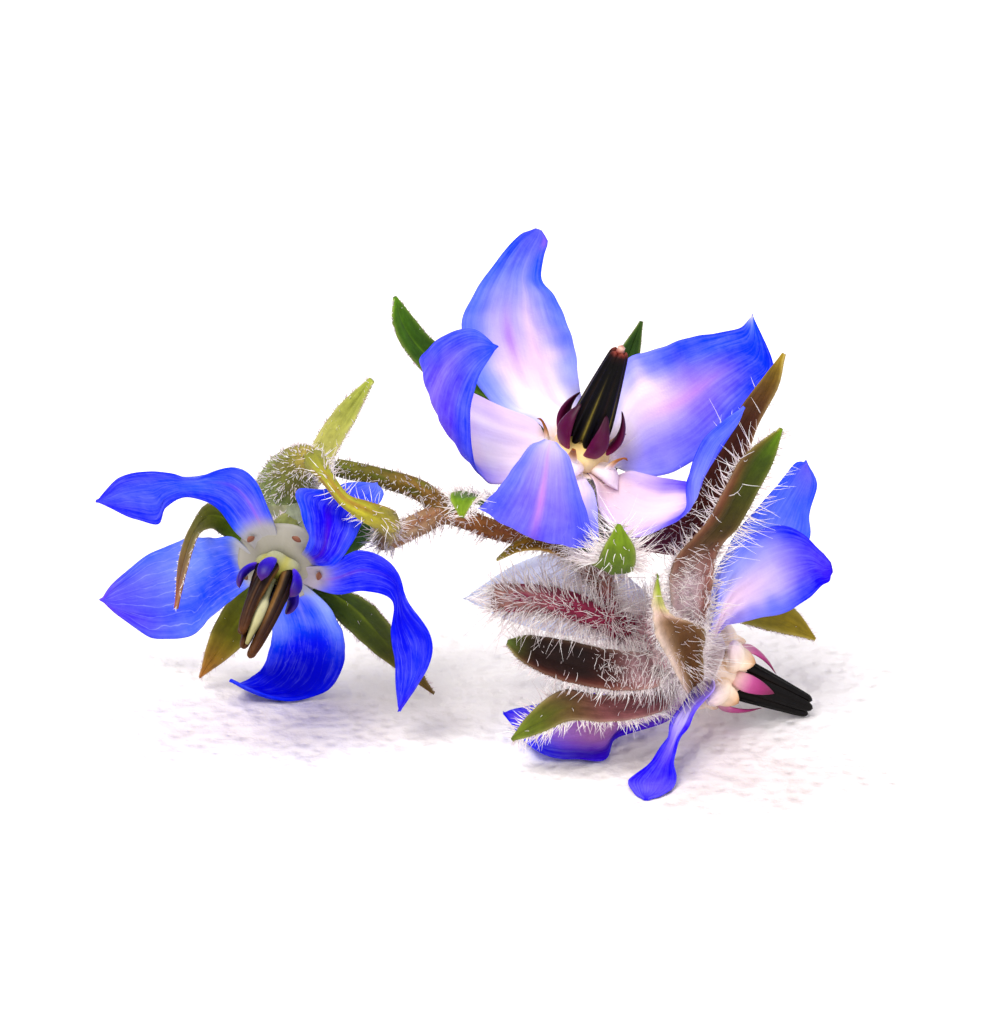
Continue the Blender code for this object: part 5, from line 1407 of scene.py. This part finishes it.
class Bristles:
    """Bristles gathered for one piece: roots, directions, lengths, bends and tints."""

    def __init__(self, rng):
        self.rng = rng
        self.roots, self.ways, self.bends, self.lengths, self.tints = [], [], [], [], []

    def grow(self, grid, count, length, lean, side=1, rim=False, growth=EVEN):
        """Spreads bristles over a grid's front (side 1) or back (-1), or along its rims."""
        rng = self.rng
        rows, columns = grid.points.shape[:2]
        weight = np.linalg.norm(np.gradient(grid.points, axis=1), axis=-1)
        weight = weight * np.linalg.norm(np.gradient(grid.points, axis=0), axis=-1)
        if rim:
            weight[:, 1:-1] = 0.0
            weight[:, (0, -1)] = 1.0
        weight = weight * np.interp(np.linspace(0.0, 1.0, rows), *zip(*growth))[:, None]
        weight[0] = weight[-1] = 0.0
        picks = rng.choice(rows * columns, size=count, p=(weight / weight.sum()).ravel())
        down, turn = np.unravel_index(picks, (rows, columns))
        down_to, turn_to = np.clip(down + 1, 0, rows - 1), np.clip(turn + 1, 0, columns - 1)
        slide_down, slide_turn = rng.random((2, count, 1))
        root = grid.points[down, turn]
        root = root + (grid.points[down_to, turn] - root) * slide_down
        if not rim:
            root = root + (grid.points[down, turn_to] - grid.points[down, turn]) * slide_turn
        normal, along = grid.normal[down, turn] * side, grid.along[down, turn]
        if rim:
            outward = unit(np.cross(grid.along, grid.normal))[down, turn]
            outward = outward * np.where(turn == 0, -1.0, 1.0)[:, None]
            normal = unit(outward + normal * rng.normal(0.0, RIM_SPREAD, (count, 1)))
        leans = lean + rng.normal(0.0, LEAN_SPREAD, (count, 1))
        way = unit(normal + along * leans + rng.normal(0.0, WAY_SPREAD, (count, 3)))
        self.roots.append(root)
        self.ways.append(way)
        self.bends.append(rng.normal(0.0, BEND_SPREAD, (count, 3)) + along * BEND_TO_TIP)
        short, long = length
        self.lengths.append(short + (long - short) * rng.random(count) ** SHORT_BIAS)
        white = np.tile(display(BRISTLE_WHITE), (count, 1))
        shade = rng.uniform(0.0, BRISTLE_SHADE_MOST, count)
        self.tints.append(linear(mix(white, display(BRISTLE_SHADE), shade)))

    def finish(self, name, material, slot):
        """One mesh of every bristle that stays above the surface and inside the sprig's box."""
        form, faces = bristle_form()
        root, way, bend = (np.vstack(part) for part in (self.roots, self.ways, self.bends))
        length, tint = np.concatenate(self.lengths), np.vstack(self.tints)
        tip = root + (way + bend) * length[:, None]
        low = np.array(cad_box[0]) / MM - BRISTLE_REACH
        high = np.array(cad_box[1]) / MM + BRISTLE_REACH
        low[2] = LOWEST_TIP
        kept = np.all((tip > low) & (tip < high) & (root[:, 2:] > LOWEST_ROOT), axis=1)
        root, way, bend, length, tint = (part[kept] for part in (root, way, bend, length, tint))
        side = unit(np.cross(way, SKEW))
        up = np.cross(way, side)
        height = form[:, 2][None, :, None]
        points = root[:, None] + (way[:, None] + bend[:, None] * height) * height * length[:, None, None]
        points = points + (side[:, None] * form[:, 0][None, :, None]
                           + up[:, None] * form[:, 1][None, :, None]) * BRISTLE_RADIUS
        corners = (faces[None] + (np.arange(len(root)) * len(form))[:, None, None]).reshape(-1, 3)
        mesh = bpy.data.meshes.new(name)
        mesh.from_pydata((points.reshape(-1, 3) * MM).tolist(), [], corners.tolist())
        mesh.shade_smooth()
        colour = mesh.attributes.new("tint", "FLOAT_COLOR", "POINT")
        shades = np.repeat(np.hstack((tint, np.ones((len(tint), 1)))), len(form), axis=0)
        colour.data.foreach_set("color", shades.ravel())
        add_piece(name, mesh, material)


def add_node(tree, kind, inputs=None, **settings):
    """Adds a node with its settings; an input is a value, or another node's output to link."""
    made = tree.nodes.new(kind)
    for name, value in settings.items():
        setattr(made, name, value)
    for socket, value in (inputs or {}).items():
        if isinstance(value, bpy.types.NodeSocket):
            tree.links.new(value, made.inputs[socket])
        else:
            made.inputs[socket].default_value = value
    return made


def new_material(name, roughness, specular):
    """A new material with its node tree and its shader."""
    material = bpy.data.materials.new(name)
    material.use_nodes = True
    tree = material.node_tree
    shader = tree.nodes["Principled BSDF"]
    shader.inputs["Roughness"].default_value = roughness
    shader.inputs["Specular IOR Level"].default_value = specular
    return material, tree, shader


def streak_map(tree, scale, detail=3.0):
    """Noise drawn out along a surface map laid in millimetres: scale is marks per mm across and along."""
    surface = add_node(tree, "ShaderNodeUVMap", uv_map="surface").outputs["UV"]
    laid = add_node(tree, "ShaderNodeMapping", {"Vector": surface, "Scale": (*scale, 1.0)})
    return add_node(tree, "ShaderNodeTexNoise",
                    {"Vector": laid.outputs["Vector"], "Scale": 1.0, "Detail": detail, "Roughness": 0.6})


def petal_material():
    """Borage petal, a thin waxy skin over watery cells: soft silk gloss, long fibres and fine pale veins."""
    material, tree, shader = new_material("borage_petal_skin", 0.6, 0.04)
    tint = add_node(tree, "ShaderNodeAttribute", attribute_name="tint").outputs["Color"]
    amount = add_node(tree, "ShaderNodeAttribute", attribute_name="veins").outputs["Fac"]
    place = add_node(tree, "ShaderNodeTexCoord").outputs["Object"]
    fibres = streak_map(tree, PETAL_FIBRES, 4.0).outputs["Fac"]
    patches = add_node(tree, "ShaderNodeTexNoise", {"Vector": place, "Scale": PETAL_PATCHES / MM,
                                                    "Detail": 5.0, "Roughness": 0.65}).outputs["Fac"]
    both = add_node(tree, "ShaderNodeMath", {0: fibres, 1: patches}, operation="ADD").outputs[0]
    low, high = TWO_NOISES
    tone = add_node(tree, "ShaderNodeMapRange", {"Value": both, "From Min": low, "From Max": high,
                                                 "To Min": 0.95, "To Max": 1.03}).outputs["Result"]
    depth = add_node(tree, "ShaderNodeMapRange", {"Value": both, "From Min": low, "From Max": high,
                                                  "To Min": 1.05, "To Max": 0.94}).outputs["Result"]
    streaked = add_node(tree, "ShaderNodeHueSaturation", {"Color": tint, "Value": tone, "Saturation": depth})
    surface = add_node(tree, "ShaderNodeUVMap", uv_map="surface").outputs["UV"]
    parts = add_node(tree, "ShaderNodeSeparateXYZ", {"Vector": surface})
    wander = add_node(tree, "ShaderNodeTexNoise",
                      {"Vector": surface, "Scale": VEIN_WAVES, "Detail": 3.0}).outputs["Fac"]
    path = add_node(tree, "ShaderNodeMath", {0: wander, 1: VEIN_WANDER, 2: parts.outputs["X"]},
                    operation="MULTIPLY_ADD").outputs[0]
    band = add_node(tree, "ShaderNodeMath", {0: path, 1: VEIN_SPACING / 2}, operation="PINGPONG").outputs[0]
    line = add_node(tree, "ShaderNodeMapRange", {"Value": band, "From Min": 0.0, "From Max": VEIN_HALF_WIDTH,
                                                 "To Min": 1.0, "To Max": 0.0}).outputs["Result"]
    broken = add_node(tree, "ShaderNodeMapRange", {"Value": patches, "From Min": 0.35, "From Max": 0.6,
                                                   "To Min": 0.05, "To Max": 0.5}).outputs["Result"]
    shown = add_node(tree, "ShaderNodeMath", {0: line, 1: amount}, operation="MULTIPLY").outputs[0]
    faint = add_node(tree, "ShaderNodeMath", {0: shown, 1: broken}, operation="MULTIPLY").outputs[0]
    veined = add_node(tree, "ShaderNodeMix",
                      {0: faint, "A": streaked.outputs["Color"], "B": paint("#c9d2ff")}, data_type="RGBA")
    tree.links.new(veined.outputs[2], shader.inputs["Base Color"])
    cells = add_node(tree, "ShaderNodeTexVoronoi", {"Vector": place, "Scale": PETAL_CELLS / MM})
    folds = add_node(tree, "ShaderNodeBump", {"Height": both, "Strength": 0.25, "Distance": 0.06 * MM})
    grain = add_node(tree, "ShaderNodeBump", {"Height": cells.outputs["Distance"], "Strength": 0.3,
                                              "Distance": 0.03 * MM, "Normal": folds.outputs["Normal"]})
    tree.links.new(grain.outputs["Normal"], shader.inputs["Normal"])
    return material


def skin_material(name, streaks, mottle, contrast, bump, roughness, specular=0.15, sheen=0.0):
    """Plant skin with its own tint, broken by streaks and a mottle in marks per mm, bumped in mm."""
    material, tree, shader = new_material(name, roughness, specular)
    tint = add_node(tree, "ShaderNodeAttribute", attribute_name="tint").outputs["Color"]
    drawn_out = streak_map(tree, streaks).outputs["Fac"]
    place = add_node(tree, "ShaderNodeTexCoord").outputs["Object"]
    speckle = add_node(tree, "ShaderNodeTexNoise", {"Vector": place, "Scale": mottle / MM, "Detail": 4.0,
                                                    "Roughness": 0.65}).outputs["Fac"]
    both = add_node(tree, "ShaderNodeMath", {0: drawn_out, 1: speckle}, operation="ADD").outputs[0]
    low, high = TWO_NOISES
    tone = add_node(tree, "ShaderNodeMapRange", {"Value": both, "From Min": low, "From Max": high,
                                                 "To Min": 1 - contrast, "To Max": 1 + contrast})
    toned = add_node(tree, "ShaderNodeHueSaturation", {"Color": tint, "Value": tone.outputs["Result"]})
    tree.links.new(toned.outputs["Color"], shader.inputs["Base Color"])
    lift = add_node(tree, "ShaderNodeBump", {"Height": both, "Strength": 0.6, "Distance": bump * MM})
    tree.links.new(lift.outputs["Normal"], shader.inputs["Normal"])
    shader.inputs["Sheen Weight"].default_value = sheen
    return material


def bristle_material():
    """Stiff silica bristle, glassy white, with a faint painted glow (emission in its own tint) that stands
    in for light passing through its clear wall, so that tufts stay bright inside.
    """
    material, tree, shader = new_material("plant_bristle", 0.35, 0.5)
    tint = add_node(tree, "ShaderNodeAttribute", attribute_name="tint").outputs["Color"]
    place = add_node(tree, "ShaderNodeTexCoord").outputs["Object"]
    shade = add_node(tree, "ShaderNodeTexNoise",
                     {"Vector": place, "Scale": BRISTLE_MARKS / MM, "Detail": 2.0}).outputs["Fac"]
    tone = add_node(tree, "ShaderNodeMapRange", {"Value": shade, "To Min": 0.92, "To Max": 1.06})
    toned = add_node(tree, "ShaderNodeHueSaturation", {"Color": tint, "Value": tone.outputs["Result"]})
    tree.links.new(toned.outputs["Color"], shader.inputs["Base Color"])
    # Painted glow: the bristle emits its own tint faintly.
    tree.links.new(toned.outputs["Color"], shader.inputs["Emission Color"])
    shader.inputs["Emission Strength"].default_value = BRISTLE_PAINTED_GLOW
    return material


def floor_material():
    """White paper cloth, matt, pressed with shallow dimples, with painted shadow: grey in soft ovals below
    the blooms, darker in the dimples' hollows.
    """
    material, tree, shader = new_material("paper_cloth", 0.9, 0.1)
    place = add_node(tree, "ShaderNodeTexCoord").outputs["Object"]
    soft = add_node(tree, "ShaderNodeTexNoise",
                    {"Vector": place, "Scale": CLOTH_CREASES / MM, "Detail": 5.0}).outputs["Fac"]
    dimple = add_node(tree, "ShaderNodeTexVoronoi",
                      {"Vector": place, "Scale": CLOTH_DIMPLES / MM, "Randomness": 0.7},
                      feature="SMOOTH_F1").outputs["Distance"]
    height = add_node(tree, "ShaderNodeMath", {0: dimple, 1: DIMPLE_SHARE, 2: soft},
                      operation="MULTIPLY_ADD").outputs[0]
    press = add_node(tree, "ShaderNodeBump", {"Height": height, "Strength": 0.8, "Distance": 1.0 * MM})
    tree.links.new(press.outputs["Normal"], shader.inputs["Normal"])
    # Distance to the nearer middle of the two painted shadows.
    aways = []
    for centre in SHADOW_CENTRES:
        middle = tuple(value * MM for value in centre)
        offset = add_node(tree, "ShaderNodeVectorMath", {0: place, 1: middle}, operation="SUBTRACT")
        oval = add_node(tree, "ShaderNodeVectorMath", {0: offset.outputs["Vector"], 1: SHADOW_OVAL},
                        operation="MULTIPLY")
        away = add_node(tree, "ShaderNodeVectorMath", {0: oval.outputs["Vector"]}, operation="LENGTH")
        aways.append(away.outputs["Value"])
    nearest = add_node(tree, "ShaderNodeMath", dict(enumerate(aways)), operation="MINIMUM").outputs[0]
    uneven = add_node(tree, "ShaderNodeMath", {0: soft, 1: SHADOW_WAVER * MM, 2: nearest},
                      operation="MULTIPLY_ADD").outputs[0]
    shadow_fade = add_node(tree, "ShaderNodeMapRange",
                     {"Value": uneven, "From Min": SHADOW_REACH[0] * MM, "From Max": SHADOW_REACH[1] * MM},
                     interpolation_type="SMOOTHSTEP").outputs["Result"]
    # Painted shadow: two greys, the darker one where the cloth lies lower, in the dimples' hollows; it fades
    # to white away from the ovals.
    speck = add_node(tree, "ShaderNodeMix", {0: height, "A": paint("#c4b8b6"), "B": paint("#e0d6d4")},
                     data_type="RGBA").outputs[2]
    tint = add_node(tree, "ShaderNodeMix", {0: shadow_fade, "A": speck, "B": paint("#fffaf8")}, data_type="RGBA")
    tree.links.new(tint.outputs[2], shader.inputs["Base Color"])
    return material


def make_floor():
    """A wide pale cloth, as the stage that the sprig lies on."""
    solid = bmesh.new()
    bmesh.ops.create_grid(solid, x_segments=2, y_segments=2, size=FLOOR_SIZE / 2)
    mesh = bpy.data.meshes.new("floor")
    solid.to_mesh(mesh)
    solid.free()
    mesh.materials.append(floor_material())
    add_object("floor", mesh)


def make_lamp(name, place, size, power, code):
    """A soft round lamp that faces the sprig."""
    lamp = bpy.data.lights.new(name, "AREA")
    lamp.shape = "DISK"
    lamp.size = size
    lamp.energy = power
    lamp.color = linear(display(code))
    holder = add_object(name, lamp)
    holder.location = place
    holder.rotation_euler = (Vector(LAMP_TARGET) - Vector(place)).to_track_quat("-Z", "Y").to_euler()


def make_world():
    """Pale light from all round."""
    world = bpy.data.worlds.new("studio")
    world.use_nodes = True
    backdrop = world.node_tree.nodes["Background"]
    backdrop.inputs["Color"].default_value = paint("#fdfbff")
    backdrop.inputs["Strength"].default_value = WORLD_STRENGTH
    bpy.context.scene.world = world


def make_tone():
    """Plain colour response, so that a white floor is white and the petals keep their full blue."""
    bpy.context.scene.view_settings.view_transform = "Standard"


def make_camera():
    """A long lens at the drawing's tilt, so that each drawn point is seen where it was drawn."""
    lens = bpy.data.cameras.new("camera")
    lens.sensor_width = SENSOR_WIDTH
    lens.lens = SENSOR_WIDTH * CAMERA_DISTANCE / VIEW_HEIGHT
    lens.clip_start, lens.clip_end = CAMERA_CLIP
    camera = add_object("camera", lens)
    back = np.array((0.0, -math.cos(VIEW_TILT), math.sin(VIEW_TILT)))
    camera.location = (np.array(VIEW_CENTRE) + back * CAMERA_DISTANCE) * MM
    camera.rotation_euler = Vector(-back).to_track_quat("-Z", "Y").to_euler()
    bpy.context.scene.camera = camera


def build():
    """Materials and then every piece; one run of random draws goes through all of them in this order."""
    petals = petal_material()
    # Leaf skin of the sepals and cups: matt, a little hairy, mottled.
    leaf = skin_material("hairy_leaf_skin", streaks=(2.5, 0.6), mottle=1.4, contrast=0.28, bump=0.12,
                         roughness=0.62, sheen=0.04)
    # Ridged herb stalk: long streaks, matt.
    bark = skin_material("ridged_stalk_skin", streaks=(2.2, 0.35), mottle=1.1, contrast=0.35, bump=0.15,
                         roughness=0.6, sheen=0.04)
    # Fleshy filaments, horns, scales and stigma: smooth and moist.
    flesh = skin_material("moist_filament_flesh", streaks=(2.0, 0.5), mottle=1.5, contrast=0.14, bump=0.05,
                          roughness=0.42, specular=0.2)
    # Anther wall: dry, dark and finely grained along its length.
    wall = skin_material("dry_anther_wall", streaks=(5.0, 0.5), mottle=2.6, contrast=0.3, bump=0.06,
                         roughness=0.5, specular=0.12)
    bristle = bristle_material()
    rng = np.random.default_rng(SEED)
    for side in BLOOMS:
        corolla_piece(side, petals, rng)
        throat_piece(side, flesh)
        horn_piece(side, flesh)
        anther_piece(side, wall)
        style_piece(side, flesh)
    stalks = stem_piece(bark, rng)
    tufts = Bristles(rng)
    for name, count, length, lean, growth in STALK_BRISTLES:
        tufts.grow(stalks[name], count, length, lean, growth=growth)
    tufts.finish("bristles_stalks", bristle, "stem")
    for side in BLOOMS:
        cup, leaves = calyx_piece(side, leaf, rng)
        tufts = Bristles(rng)
        for name, sheet in {"cup": cup, **leaves}.items():
            faces, rims, length, lean = CALYX_BRISTLES[side][name]
            growth = FACE_GROWTH.get((side, name), EVEN)
            if name == "cup":
                tufts.grow(sheet, faces, length, lean, growth=growth)
                continue
            tufts.grow(sheet, rims, length, lean, rim=True, growth=RIM_GROWTH.get((side, name), EVEN))
            for face in (-1, 1):
                tufts.grow(sheet, faces // 2, length, lean, face, growth=growth)
        tufts.finish(f"bristles_{side}", bristle, "calyx")


make_floor()
make_world()
for name, lamp in LAMPS.items():
    make_lamp(name, *lamp)
make_tone()
make_camera()
build()
